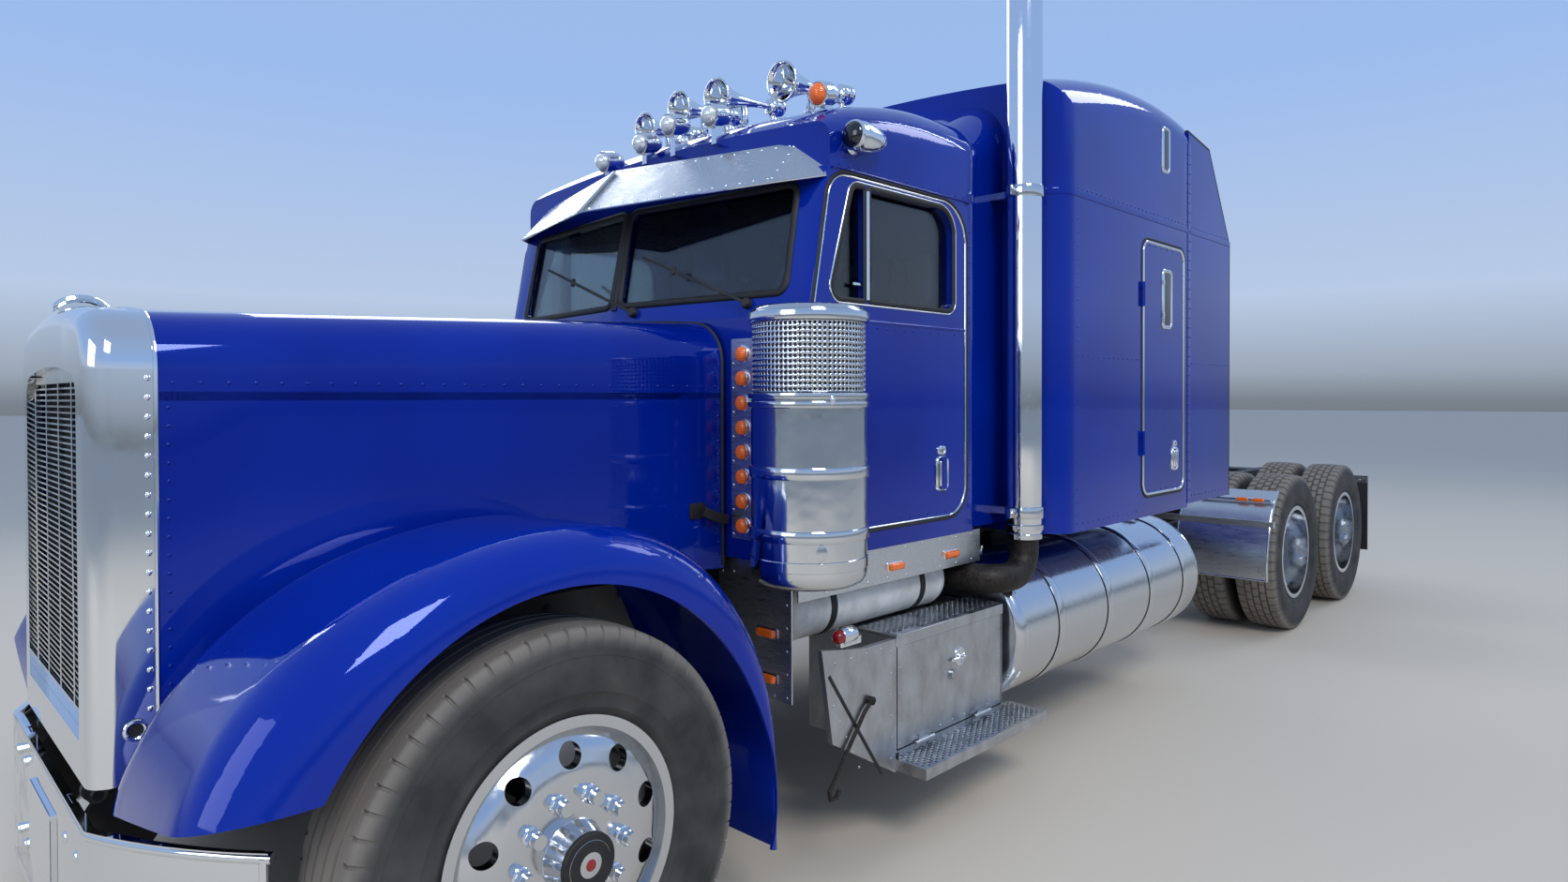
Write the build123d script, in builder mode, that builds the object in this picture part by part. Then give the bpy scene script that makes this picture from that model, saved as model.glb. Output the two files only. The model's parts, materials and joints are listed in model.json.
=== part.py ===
from build123d import *
import os
from math import cos, hypot, radians, sin

# A conventional tractor with sleeper. Millimetres, forward is -Y, the truck's left is +X, ground at Z = 0.
# Lengths along the truck are given from the front axle unless a name says otherwise.
bumper_to_axle = 865
wheelbase = 6655
axle_to_tail = 1370
tandem_spacing = 1320
overall_length = bumper_to_axle + wheelbase + axle_to_tail
front_axle_y = bumper_to_axle - overall_length / 2
tandem_y = front_axle_y + wheelbase
drive_axle_ys = [tandem_y - tandem_spacing / 2, tandem_y + tandem_spacing / 2]

# Wheels and tyres
tyre_radius = 547
tyre_width = 284
bead_radius = 312
rim_lip_radius = 326
rim_width = 236
steer_track_half = 1058
dual_centre_x = 885
dual_spacing = 335
lug_circle_radius = 142.9
lug_count = 10
hand_hole_circle = 238
hand_hole_radius = 31
kingpin_x = 905
kingpin_radius = 24
spindle_radius = 42
spindle_clearance = 0.05
steer_arm_length = 230
steer_arm_half = 20
tie_end_radius = 22
tie_pin_radius = 11
steer_arm_z = tyre_radius - 115

# Frame
rail_x = 432
rail_height = 270
rail_flange = 90
rail_wall = 10
rail_top = 1000
rail_front_y = front_axle_y - 690
rail_rear_y = front_axle_y + wheelbase + axle_to_tail - 60
crossmember_height = 120

# Bumper
plate_holder_wall = 10
plate_holder_size = (340, 190)
plate_holder_z = 505
bumper_face_y = front_axle_y - bumper_to_axle + plate_holder_wall
bumper_top = 690
bumper_height = 440
bumper_wall = 8
bumper_flange = 20
bumper_bend_x = 569
bumper_tip_x = 974
bumper_tip_back = 250

# Hood, grille shell and fenders
shell_front_y = front_axle_y - 835
hood_front_y = front_axle_y - 694
hood_rear_y = front_axle_y + 948
shell_half_width = 498
hood_rear_half_width = 690
shell_bottom = 745
hood_shoulder_radius = 150
shell_top = 1895
hood_rear_top = 1945
hood_crown = 25
hood_wall = 12
hood_pivot_y = front_axle_y - 800
hood_pivot_z = 700
hood_pin_radius = 12
grille_half_width = 388
grille_bottom = 839
grille_top = 1735
fender_outer_x = 1200
fender_wall = 10
arch_centre_y = front_axle_y + 80
arch_centre_z = 500

# Cab
cab_half_width = 985
cab_wall = 45
cab_floor = 1090
cab_floor_wall = 30
belt = 1930
cab_head = 2460
passage_half_width = 550
cowl_front_y = front_axle_y + 962
cab_back_y = front_axle_y + 2130
cowl_corner_x = 860
cowl_corner_y = front_axle_y + 1060
glass_rake = 0.2
glass_sweep = 0.12
pillar_width = 105
cab_rear_radius = 50
door_gap = 6
door_front_y = front_axle_y + 1085
door_rear_y = front_axle_y + 2040
door_bottom = 1165
door_top = 2445
door_lean = 97
door_front_radius = 110
door_rear_radius = 170
door_lower_radius = 130
window_sill = 2000
window_top = 2410
window_margin = 62
window_radius = 45
window_rear_radius = 100
glass_thickness = 6

# Sleeper
sleeper_half_width = 1200
sleeper_front_y = front_axle_y + 2452
sleeper_back_y = front_axle_y + 3890
neck_half_width = 925
neck_front_y = cab_back_y + 0.3
sleeper_floor = 1050
sleeper_seam = 2550
sleeper_wall = 45
sleeper_front_radius = 130
sleeper_rear_radius = 12
sleeper_door_front_y = front_axle_y + 3285
sleeper_door_rear_y = front_axle_y + 3830
sleeper_door_bottom = 1150
sleeper_door_top = 2440
extender_rear_y = front_axle_y + 4533
extender_thickness = 40

# Outside equipment
stack_x = 1080
stack_y = front_axle_y + 2350
stack_radius = 76
stack_top = 3950
tank_x = 800
tank_z = 620
tank_radius = 330
tank_front_y = front_axle_y + 2240
tank_rear_y = front_axle_y + 4300
cleaner_x = 1140
cleaner_y = front_axle_y + 905
cleaner_radius = 183
cleaner_bottom = 1065
cleaner_top = 1936
skirt_bottom = 955
reservoir_radius = 115
fifth_wheel_z = 1150
kingpin_bore_radius = 25.45
hinge_barrel_radius = 9
hinge_pin_radius = 5
hinge_pin_clearance = 0.05
hinge_end_gap = 0.3
hinge_stand_off = hinge_barrel_radius + 0.5
hinge_leaf_wall = 8

os.makedirs("parts", exist_ok=True)


def across(y):
    """The plane across the truck at y: sketch x is X and sketch y is Z."""
    return Plane.XZ.offset(-y)


def along(x):
    """The lengthwise plane at x: sketch x is Y and sketch y is Z."""
    return Plane.YZ.offset(x)


def level(z):
    """The level plane at z."""
    return Plane.XY.offset(z)


def save(builder, name):
    builder.part.label = name
    export_step(builder.part, f"parts/{name}.step")


def hinge_barrels(origin, axis, length):
    """The fixed side of one hinge: a pin with a barrel at each end, clear of the moving barrel between them."""
    frame = Plane(origin=origin, z_dir=axis)
    for end in (-1, 1):
        centre = end * (length * 0.75 + hinge_end_gap)
        with BuildSketch(frame.offset(centre - length / 4)) as barrel:
            Circle(hinge_barrel_radius)
        extrude(barrel.sketch, amount=length / 2)
    with BuildSketch(frame.offset(-length)) as pin:
        Circle(hinge_pin_radius)
    extrude(pin.sketch, amount=2 * length)


# Chassis frame: two channel rails, crossmembers, spring hangers and the bumper horns
crossmember_ys = [front_axle_y + d for d in (-560, 1850, 3300, 4650)]
crossmember_ys += [tandem_y + d for d in (-1150, 0, 1150)] + [rail_rear_y - 60]
horn_x = 333
horn_wall = 24
with BuildPart() as chassis_frame:
    for side in (-1, 1):
        with BuildSketch(across(rail_front_y)):
            with Locations((side * (rail_x - rail_flange / 2), rail_top - rail_height / 2)):
                Rectangle(rail_flange, rail_height)
            with Locations((side * (rail_x - rail_wall - rail_flange / 2), rail_top - rail_height / 2)):
                Rectangle(rail_flange, rail_height - 2 * rail_wall, mode=Mode.SUBTRACT)
        extrude(amount=-(rail_rear_y - rail_front_y))
        with BuildSketch(along(side * horn_x)):
            with BuildLine():
                Polyline(
                    (rail_front_y + 160, rail_top - rail_wall), (rail_front_y, rail_top - 40),
                    (hood_pivot_y + 45, hood_pivot_z + 40), (bumper_face_y + bumper_wall, bumper_top - 90),
                    (bumper_face_y + bumper_wall, bumper_top - bumper_height + 60),
                    (rail_front_y + 160, rail_top - rail_height + rail_wall), close=True,
                )
            make_face()
        extrude(amount=horn_wall / 2, both=True)
        with BuildSketch(along(side * horn_x)):
            with Locations((hood_pivot_y, hood_pivot_z)):
                Circle(26)
        extrude(amount=horn_wall / 2, both=True)
        with BuildSketch(along(side * (horn_x + horn_wall / 2))):
            with Locations((hood_pivot_y, hood_pivot_z)):
                Circle(hood_pin_radius)
        extrude(amount=side * 46)
    for y in crossmember_ys:
        with Locations((0, y, rail_top - rail_wall - crossmember_height / 2)):
            Box(2 * (rail_x - rail_wall), 110, crossmember_height)
save(chassis_frame, "chassis_frame")

# Front bumper: a bent plate with rolled edges, wings swept back, and a blank plate holder
def bumper_band(depth):
    face_y = bumper_face_y
    back_y = bumper_face_y + depth
    tip_y = bumper_face_y + bumper_tip_back
    mid = ((bumper_bend_x + bumper_tip_x) / 2 + 25, bumper_face_y + bumper_tip_back * 0.47)
    with BuildLine() as outline:
        Line((-bumper_bend_x, face_y), (bumper_bend_x, face_y))
        ThreePointArc((bumper_bend_x, face_y), mid, (bumper_tip_x, tip_y))
        Line((bumper_tip_x, tip_y), (bumper_tip_x - depth, tip_y))
        ThreePointArc(
            (bumper_tip_x - depth, tip_y), (mid[0] - depth * 0.75, mid[1] + depth * 0.5),
            (bumper_bend_x - depth / 4, back_y),
        )
        Line((bumper_bend_x - depth / 4, back_y), (-bumper_bend_x + depth / 4, back_y))
        ThreePointArc(
            (-bumper_bend_x + depth / 4, back_y), (-mid[0] + depth * 0.75, mid[1] + depth * 0.5),
            (-bumper_tip_x + depth, tip_y),
        )
        Line((-bumper_tip_x + depth, tip_y), (-bumper_tip_x, tip_y))
        ThreePointArc((-bumper_tip_x, tip_y), (-mid[0], mid[1]), (-bumper_bend_x, face_y))
    make_face(outline.edges())


# width and depth of the notches in the top flange for the frame horns
horn_notch = (70, 120)
notch_y = bumper_face_y + bumper_wall + horn_notch[1] / 2
with BuildPart() as front_bumper:
    with BuildSketch(level(bumper_top - bumper_height)):
        bumper_band(bumper_wall)
    extrude(amount=bumper_height)
    for z in (bumper_top - bumper_height, bumper_top - bumper_wall):
        with BuildSketch(level(z)):
            bumper_band(bumper_flange)
        extrude(amount=bumper_wall)
    for side in (-1, 1):
        with Locations((side * horn_x, notch_y, bumper_top - bumper_wall / 2)):
            Box(*horn_notch, bumper_wall + 4, mode=Mode.SUBTRACT)
    with Locations((0, bumper_face_y - plate_holder_wall / 2, plate_holder_z)):
        Box(plate_holder_size[0], plate_holder_wall, plate_holder_size[1])
save(front_bumper, "front_bumper")

# Front axle: a dropped beam with kingpin bosses, and its leaf springs with hangers
beam_z = tyre_radius - 130
spring_x = rail_x - rail_flange / 2
spring_half = 640
with BuildPart() as front_axle:
    with BuildSketch(across(front_axle_y)):
        with BuildLine():
            Polyline(
                (-kingpin_x, tyre_radius + 55), (-kingpin_x, tyre_radius - 55),
                (75 - kingpin_x, tyre_radius - 55), (-560, beam_z - 60),
                (560, beam_z - 60), (kingpin_x - 75, tyre_radius - 55), (kingpin_x, tyre_radius - 55),
                (kingpin_x, tyre_radius + 55),
                (540, beam_z + 60), (-540, beam_z + 60), close=True,
            )
        make_face()
    extrude(amount=55, both=True)
    for side in (-1, 1):
        with BuildSketch(level(tyre_radius - 55)):
            with Locations((side * kingpin_x, front_axle_y)):
                Circle(55)
        extrude(amount=110)
        with BuildSketch(level(tyre_radius - 60)):
            with Locations((side * kingpin_x, front_axle_y)):
                Circle(kingpin_radius + spindle_clearance)
        extrude(amount=120, mode=Mode.SUBTRACT)
        with BuildSketch(along(side * spring_x)):
            with BuildLine():
                ThreePointArc(
                    (front_axle_y - spring_half, rail_top - rail_height - 45),
                    (front_axle_y, beam_z + 60), (front_axle_y + spring_half, rail_top - rail_height - 45),
                )
                Line(
                    (front_axle_y + spring_half, rail_top - rail_height - 45),
                    (front_axle_y + spring_half, rail_top - rail_height),
                )
                ThreePointArc(
                    (front_axle_y + spring_half, rail_top - rail_height),
                    (front_axle_y, beam_z + 150), (front_axle_y - spring_half, rail_top - rail_height),
                )
                Line(
                    (front_axle_y - spring_half, rail_top - rail_height),
                    (front_axle_y - spring_half, rail_top - rail_height - 45),
                )
            make_face()
        extrude(amount=40, both=True)
save(front_axle, "front_axle")

# Drive axles: housings, propeller shafts, trailing springs with hangers and air springs
housing_radius = 72
axle_end_x = dual_centre_x - 24.3
arm_x = rail_x - rail_flange / 2
with BuildPart() as drive_axles:
    for axle_y in drive_axle_ys:
        with BuildSketch(along(0)):
            with Locations((axle_y, tyre_radius)):
                Circle(housing_radius)
        extrude(amount=axle_end_x, both=True)
        with Locations((0, axle_y, tyre_radius)):
            Sphere(195)
            Cylinder(130, 420, rotation=(90, 0, 0))
        for side in (-1, 1):
            with BuildSketch(along(side * arm_x)):
                with BuildLine():
                    Polyline(
                        (axle_y - 500, 620), (axle_y - 120, 650), (axle_y + 120, 650), (axle_y + 330, 480),
                        (axle_y + 540, 480), (axle_y + 540, 430), (axle_y + 310, 430), (axle_y + 90, 590),
                        (axle_y - 110, 590), (axle_y - 500, 565), close=True,
                    )
                make_face()
            extrude(amount=42, both=True)
            with Locations((side * arm_x, axle_y - 470, rail_top - rail_height - 85)):
                Box(88, 120, 170)
            with BuildSketch(level(480)):
                with Locations((side * arm_x, axle_y + 430)):
                    Circle(105)
            extrude(amount=rail_top - rail_height - 480)
    shaft_front = (0, front_axle_y + 1790, 760)
    shaft_rear = (0, drive_axle_ys[0] - 200, tyre_radius)
    shaft_run = Vector(*shaft_rear) - Vector(*shaft_front)
    with BuildSketch(Plane(origin=shaft_front, z_dir=shaft_run)):
        Circle(52)
    extrude(amount=shaft_run.length + 20)
    with BuildSketch(across(drive_axle_ys[0] + 180)):
        with Locations((0, tyre_radius)):
            Circle(48)
    extrude(amount=-(tandem_spacing - 360))
save(drive_axles, "drive_axles")

# Engine and gearbox as plain masses, and the radiator behind the grille
engine_front_y = front_axle_y - 470
engine_rear_y = front_axle_y + 900
radiator_front_y = front_axle_y - 660
with BuildPart() as engine_block:
    with Locations((0, (engine_front_y + engine_rear_y) / 2, 1110)):
        Box(600, engine_rear_y - engine_front_y, 900)
    with Locations((0, (engine_rear_y + front_axle_y + 1780) / 2, 830)):
        Box(420, front_axle_y + 1780 - engine_rear_y, 380)
    with Locations((0, radiator_front_y + 45, (rail_top + 1700) / 2)):
        Box(740, 90, 1700 - rail_top)
    with Locations((0, (radiator_front_y + engine_front_y + 90) / 2, 1290)):
        Box(120, engine_front_y - radiator_front_y - 90, 120)
    for side in (-1, 1):
        with Locations((side * (rail_x - rail_wall + 300) / 2, front_axle_y + 500, 860)):
            Box(rail_x - rail_wall - 300, 160, 60)
save(engine_block, "engine_block")


# Hood sections: sides up to a shoulder arc, then a shallow crown, as a wall open at the bottom
def arch_outline(half_width, bottom, top, radius, crown):
    side = [(half_width, bottom), (half_width, top - crown - radius)]
    knee = (half_width - radius * (1 - cos(radians(45))), top - crown - radius * (1 - sin(radians(45))))
    shoulder = (half_width - radius, top - crown)
    with BuildLine() as outline:
        Line((-half_width, bottom), (half_width, bottom))
        Line(side[0], side[1])
        ThreePointArc(side[1], knee, shoulder)
        ThreePointArc(shoulder, (0, top), (-shoulder[0], shoulder[1]))
        ThreePointArc((-shoulder[0], shoulder[1]), (-knee[0], knee[1]), (-side[1][0], side[1][1]))
        Line((-side[1][0], side[1][1]), (-half_width, bottom))
    make_face(outline.edges())


# columns: y, half width, top of the crown
hood_sections = [
    (hood_front_y, shell_half_width, shell_top),
    (hood_rear_y, hood_rear_half_width, hood_rear_top),
]
hood_base = 700
with BuildPart() as hood:
    for inset, mode in ((0, Mode.ADD), (hood_wall, Mode.SUBTRACT)):
        for y, half_width, top in hood_sections:
            with BuildSketch(across(y)):
                arch_outline(
                    half_width - inset, hood_base - inset, top - inset, hood_shoulder_radius - inset, hood_crown
                )
        loft(mode=mode, ruled=True)
        if mode == Mode.ADD:
            hood_envelope = hood.part
    lower_edge = [
        (hood_front_y - 10, 780), (front_axle_y - 500, 985), (front_axle_y - 310, 1095),
        (front_axle_y - 146, 1185), (front_axle_y + 100, 1225), (front_axle_y + 420, 1225),
        (front_axle_y + 640, 1060), (hood_rear_y + 10, 1050),
    ]
    with BuildSketch(along(0)):
        with BuildLine():
            Polyline(*lower_edge, (hood_rear_y + 10, 600), (hood_front_y - 10, 600), close=True)
        make_face()
    extrude(amount=900, both=True, mode=Mode.SUBTRACT)
save(hood, "hood")

# Grille shell: the same outline as the hood with a rounded front edge and an arched opening
shell_wall = 14
with BuildPart() as grille_shell:
    with BuildSketch(across(shell_front_y)):
        arch_outline(shell_half_width, shell_bottom, shell_top, hood_shoulder_radius, hood_crown)
    extrude(amount=-(hood_front_y - shell_front_y - 0.3))
    front_edges = grille_shell.faces().sort_by(Axis.Y)[0].edges().filter_by_position(Axis.Z, shell_bottom + 1, 3000)
    fillet(front_edges, 55)
    with BuildSketch(across(shell_front_y + 40)):
        arch_outline(
            shell_half_width - shell_wall, shell_bottom - 10, shell_top - shell_wall,
            hood_shoulder_radius - shell_wall, hood_crown,
        )
    extrude(amount=-200, mode=Mode.SUBTRACT)
    with BuildSketch(across(shell_front_y - 10)):
        arch_outline(grille_half_width, grille_bottom, grille_top, 70, 20)
    extrude(amount=-300, mode=Mode.SUBTRACT)
    for side in (-1, 1):
        with BuildSketch(along(side * (horn_x + horn_wall / 2 + 20))):
            with BuildLine():
                Polyline(
                    (hood_pivot_y - 22, hood_pivot_z), (hood_pivot_y - 22, shell_bottom + 20),
                    (hood_pivot_y + 60, shell_bottom + 20), (hood_pivot_y + 22, hood_pivot_z), close=True,
                )
            make_face()
            with Locations((hood_pivot_y, hood_pivot_z)):
                Circle(22)
            with Locations((hood_pivot_y, hood_pivot_z)):
                Circle(hood_pin_radius + spindle_clearance, mode=Mode.SUBTRACT)
        extrude(amount=side * 16)
    with BuildSketch(along(0)):
        with BuildLine():
            Polyline(
                (shell_front_y + 20, shell_top - 8), (shell_front_y + 30, shell_top + 22),
                (shell_front_y + 110, shell_top + 10), (shell_front_y + 130, shell_top - 8), close=True,
            )
        make_face()
    extrude(amount=5, both=True)
save(grille_shell, "grille_shell")

# Grille bars: fine level louvres between three upright dividers, in a frame that fits the opening
bar_pitch = 16
grille_frame = 12
bar_depth = 14
grille_face_y = shell_front_y + 20
bar_count = int((grille_top - grille_bottom - 60) / bar_pitch)
with BuildPart() as grille_bars:
    with BuildSketch(across(grille_face_y)):
        arch_outline(grille_half_width - 0.3, grille_bottom + 0.3, grille_top - 0.3, 70, 20)
        with Locations((0, (grille_bottom + grille_top) / 2)):
            Rectangle(
                2 * (grille_half_width - grille_frame), grille_top - grille_bottom - 2 * grille_frame - 60,
                mode=Mode.SUBTRACT,
            )
    extrude(amount=-bar_depth)
    for divider_x in (-grille_half_width / 2, 0, grille_half_width / 2):
        with Locations((divider_x, grille_face_y + bar_depth / 2, (grille_bottom + grille_top) / 2)):
            Box(16, bar_depth, grille_top - grille_bottom - 40)
    for index in range(bar_count):
        z = grille_bottom + 40 + index * bar_pitch
        with Locations((0, grille_face_y + bar_depth / 2 + 2, z)):
            Box(2 * grille_half_width - 20, bar_depth - 6, 5)
    with BuildSketch(across(grille_face_y - 1)):
        arch_outline(grille_half_width - 0.3, grille_bottom + 0.3, grille_top - 0.3, 70, 20)
    extrude(amount=-bar_depth - 2, mode=Mode.INTERSECT)
save(grille_bars, "grille_bars")

# Fenders: wall sections carried round the wheel, each in a plane through the wheel's cross axis.
# columns: angle round the arch from the rear, lip radius, crown radius, inner edge radius, inner x, bend radius
fender_sections = [
    (168, 780, 925, 862, 480, 140),
    (148, 738, 930, 800, 480, 165),
    (126, 732, 885, 735, 490, 145),
    (100, 706, 836, 735, 520, 120),
    (74, 664, 812, 745, 560, 120),
    (50, 622, 755, 690, 620, 100),
    (20, 603, 660, 630, 690, 45),
    (-17, 622, 668, 640, 720, 36),
]
fender_front_edge = [(480, 700), (600, 726), (1200, 850)]


def fender_outline(lip, crown, inner, inner_x, bend, wall):
    top_x = inner_x + 190
    with BuildLine() as outline:
        Line((fender_outer_x, lip), (fender_outer_x, crown - bend))
        ThreePointArc(
            (fender_outer_x, crown - bend),
            (fender_outer_x - bend * 0.293, crown - bend * 0.293), (fender_outer_x - bend, crown),
        )
        Line((fender_outer_x - bend, crown), (top_x, crown - 8))
        ThreePointArc((top_x, crown - 8), (inner_x + 75, (crown * 2 + inner) / 3 - 4), (inner_x, inner))
        Line((inner_x, inner), (inner_x, inner - wall))
        ThreePointArc(
            (inner_x, inner - wall), (inner_x + 75 + wall * 0.3, (crown * 2 + inner) / 3 - 4 - wall),
            (top_x, crown - 8 - wall),
        )
        Line((top_x, crown - 8 - wall), (fender_outer_x - bend, crown - wall))
        ThreePointArc(
            (fender_outer_x - bend, crown - wall),
            (fender_outer_x - bend * 0.293 - wall * 0.7, crown - bend * 0.293 - wall * 0.7),
            (fender_outer_x - wall, crown - bend),
        )
        Line((fender_outer_x - wall, crown - bend), (fender_outer_x - wall, lip))
        Line((fender_outer_x - wall, lip), (fender_outer_x, lip))
    make_face(outline.edges())


with BuildPart() as fenders:
    for angle, lip, crown, inner, inner_x, bend in fender_sections:
        reach = Vector(0, cos(radians(angle)), sin(radians(angle)))
        arch_plane = Plane(
            origin=(0, arch_centre_y, arch_centre_z), x_dir=(1, 0, 0), z_dir=Vector(1, 0, 0).cross(reach)
        )
        with BuildSketch(arch_plane):
            fender_outline(lip, crown, inner, inner_x, bend, fender_wall)
    loft()
    with BuildSketch(across(front_axle_y - 450)):
        with BuildLine():
            Polyline(*fender_front_edge, (1300, 850), (1300, 300), (480, 300), close=True)
        make_face()
    extrude(amount=700, mode=Mode.SUBTRACT)
    add(hood_envelope, mode=Mode.SUBTRACT)
    with Locations((0, shell_front_y, 1200)):
        Box(2 * shell_half_width, 2 * (hood_front_y - shell_front_y) + 60, 1400, mode=Mode.SUBTRACT)
    mirror(about=Plane.YZ)
save(fenders, "fenders")


# Cab: plan outlines at three levels make the lower box and the raked front
def cab_lower_plan(inset):
    with BuildLine() as outline:
        Line((0, cowl_front_y + inset), (cowl_corner_x - inset * 0.4, cowl_front_y + inset))
        ThreePointArc(
            (cowl_corner_x - inset * 0.4, cowl_front_y + inset),
            (cab_half_width - inset - 35, cowl_front_y + 34 + inset),
            (cab_half_width - inset, cowl_corner_y + 10),
        )
        Line((cab_half_width - inset, cowl_corner_y + 10), (cab_half_width - inset, cab_back_y - inset))
        Line((cab_half_width - inset, cab_back_y - inset), (0, cab_back_y - inset))
        Line((0, cab_back_y - inset), (0, cowl_front_y + inset))
    make_face(outline.edges())
    mirror(about=Plane.YZ)


def glass_line_y(x, z):
    """Y of the windshield face: a shallow V in plan, raked back with height."""
    return cowl_front_y + glass_rake * (z - belt) + glass_sweep * x


def cab_upper_plan(z, inset):
    corner_x = cab_half_width - inset
    pillar_x = corner_x - pillar_width
    front = inset * 1.02
    pillar_y = glass_line_y(pillar_x, z) + front
    with BuildLine() as outline:
        Polyline(
            (0, glass_line_y(0, z) + front), (pillar_x, pillar_y), (corner_x - 12, pillar_y + 1),
            (corner_x, pillar_y + 5), (corner_x, cab_back_y - inset), (0, cab_back_y - inset), close=True,
        )
    make_face(outline.edges())
    mirror(about=Plane.YZ)


# Windshield plane for the left half; the right half is its mirror image
glass_mid_z = (window_sill + 2430) / 2
glass_plane = Plane(
    origin=(0, glass_line_y(0, glass_mid_z), glass_mid_z), x_dir=(1, glass_sweep, 0),
    z_dir=Vector(1, glass_sweep, 0).cross(Vector(0, glass_rake, 1)),
)
pane_inner = 22
pane_outer = 868
pane_height = 400


def pane_outline(margin):
    with Locations(((pane_inner + pane_outer) / 2, 0)):
        RectangleRounded(pane_outer - pane_inner + 2 * margin, pane_height + 2 * margin, 40)


def door_outline(grow):
    """Door edge in side view: upright below the belt, leaning back above it, with rounded corners."""
    with BuildLine() as outline:
        Polyline(
            (door_front_y - grow, door_bottom - grow), (door_front_y - grow, belt),
            (door_front_y + door_lean - grow, door_top + grow), (door_rear_y + grow, door_top + grow),
            (door_rear_y + grow, door_bottom - grow), close=True,
        )
    make_face(outline.edges())
    fillet(vertices().group_by(Axis.Y)[-1].sort_by(Axis.X)[0], door_front_radius + grow)
    fillet(vertices().group_by(Axis.Y)[-1].sort_by(Axis.X)[-1], door_rear_radius + grow)
    fillet(vertices().group_by(Axis.Y)[0].sort_by(Axis.X)[-1], door_lower_radius + grow)


def window_outline(grow):
    with BuildLine() as outline:
        Polyline(
            (door_front_y + window_margin + 30 - grow, window_sill - grow),
            (door_front_y + door_lean + window_margin + 66 - grow, window_top + grow),
            (door_rear_y - window_margin - 30 + grow, window_top + grow),
            (door_rear_y - window_margin - 30 + grow, window_sill - grow), close=True,
        )
    make_face(outline.edges())
    fillet(vertices().group_by(Axis.Y)[-1].sort_by(Axis.X)[-1], window_rear_radius + grow)
    fillet(vertices().sort_by(Axis.X)[:2], window_radius + grow)
    fillet(vertices().group_by(Axis.Y)[0].sort_by(Axis.X)[-1], window_radius + grow)


door_hinge_x = cab_half_width + hinge_stand_off
door_hinge_y = door_front_y - door_gap / 2
door_hinge_zs = [1330, 1780]
door_hinge_length = 60
with BuildPart() as cab_shell:
    with BuildSketch(level(cab_floor)):
        cab_lower_plan(0)
    extrude(amount=belt - cab_floor)
    for z in (belt, cab_head):
        with BuildSketch(level(z)):
            cab_upper_plan(z, 0)
    loft(ruled=True)
    fillet(cab_shell.edges().filter_by(Axis.Z).group_by(Axis.Y)[-1], cab_rear_radius)
    with BuildSketch(level(cab_floor + cab_floor_wall)):
        cab_lower_plan(cab_wall)
    extrude(amount=belt - cab_floor - cab_floor_wall, mode=Mode.SUBTRACT)
    for z in (belt, cab_head):
        with BuildSketch(level(z)):
            cab_upper_plan(z, cab_wall)
    loft(ruled=True, mode=Mode.SUBTRACT)
    with BuildSketch(glass_plane):
        pane_outline(0)
    extrude(amount=70, both=True, mode=Mode.SUBTRACT)
    with BuildSketch(glass_plane):
        pane_outline(0)
    mirrored_pane = extrude(amount=70, both=True, mode=Mode.PRIVATE)
    add(mirrored_pane.mirror(Plane.YZ), mode=Mode.SUBTRACT)
    with BuildSketch(along(0)):
        door_outline(door_gap)
    extrude(amount=1100, both=True, mode=Mode.SUBTRACT)
    with BuildSketch(across(cab_back_y + 10)):
        with Locations((0, 1850)):
            RectangleRounded(2 * passage_half_width, 1250, 80)
    extrude(amount=100, mode=Mode.SUBTRACT)
    for side in (-1, 1):
        for distance in (1130, 1980):
            with Locations((side * (rail_x - rail_flange / 2), front_axle_y + distance, (rail_top + cab_floor) / 2)):
                Box(rail_flange, 120, cab_floor - rail_top)
        for z in door_hinge_zs:
            hinge_barrels((side * door_hinge_x, door_hinge_y, z), (0, 0, 1), door_hinge_length)
            for end in (-1, 1):
                leaf_z = z + end * (door_hinge_length * 0.75 + hinge_end_gap)
                with Locations((side * (cab_half_width + 1), door_hinge_y - 14, leaf_z)):
                    Box(hinge_leaf_wall, 24, door_hinge_length / 2)
save(cab_shell, "cab_shell")

# Cab roof: a raised cap over the cab with a steep front, open to the sleeper's neck
# columns: y from the front axle, top of the crown, shoulder radius
cab_roof_sections = [
    (1185, 2665, 70),
    (1260, 2721, 110),
    (1420, 2782, 150),
    (1600, 2827, 180),
    (1900, 2860, 190),
    (2130, 2866, 190),
]
cab_roof_crown = 40
with BuildPart() as cab_roof:
    for inset, mode in ((0, Mode.ADD), (cab_wall, Mode.SUBTRACT)):
        for distance, top, radius in cab_roof_sections:
            first = distance == cab_roof_sections[0][0]
            last = distance == cab_roof_sections[-1][0]
            shift = inset if first else -inset if last else 0
            with BuildSketch(across(front_axle_y + distance + shift)):
                arch_outline(cab_half_width - inset, cab_head, top - inset, max(radius - inset, 25), cab_roof_crown)
        loft(mode=mode)
        if mode == Mode.ADD:
            rear_face = cab_roof.faces().sort_by(Axis.Y)[-1]
            fillet(rear_face.edges().filter_by_position(Axis.Z, cab_head + 1, stack_top), cab_rear_radius)
            cab_roof_envelope = cab_roof.part
    with BuildSketch(across(cab_back_y + 10)):
        arch_outline(passage_half_width, cab_head, 2740, 150, 20)
    extrude(amount=100, mode=Mode.SUBTRACT)
save(cab_roof, "cab_roof")

# Windshield: two flat panes meeting at the centre post
with BuildPart() as windshield:
    with BuildSketch(glass_plane.offset(-20)):
        pane_outline(0)
    extrude(amount=glass_thickness)
    mirror(about=Plane.YZ)
save(windshield, "windshield")

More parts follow.
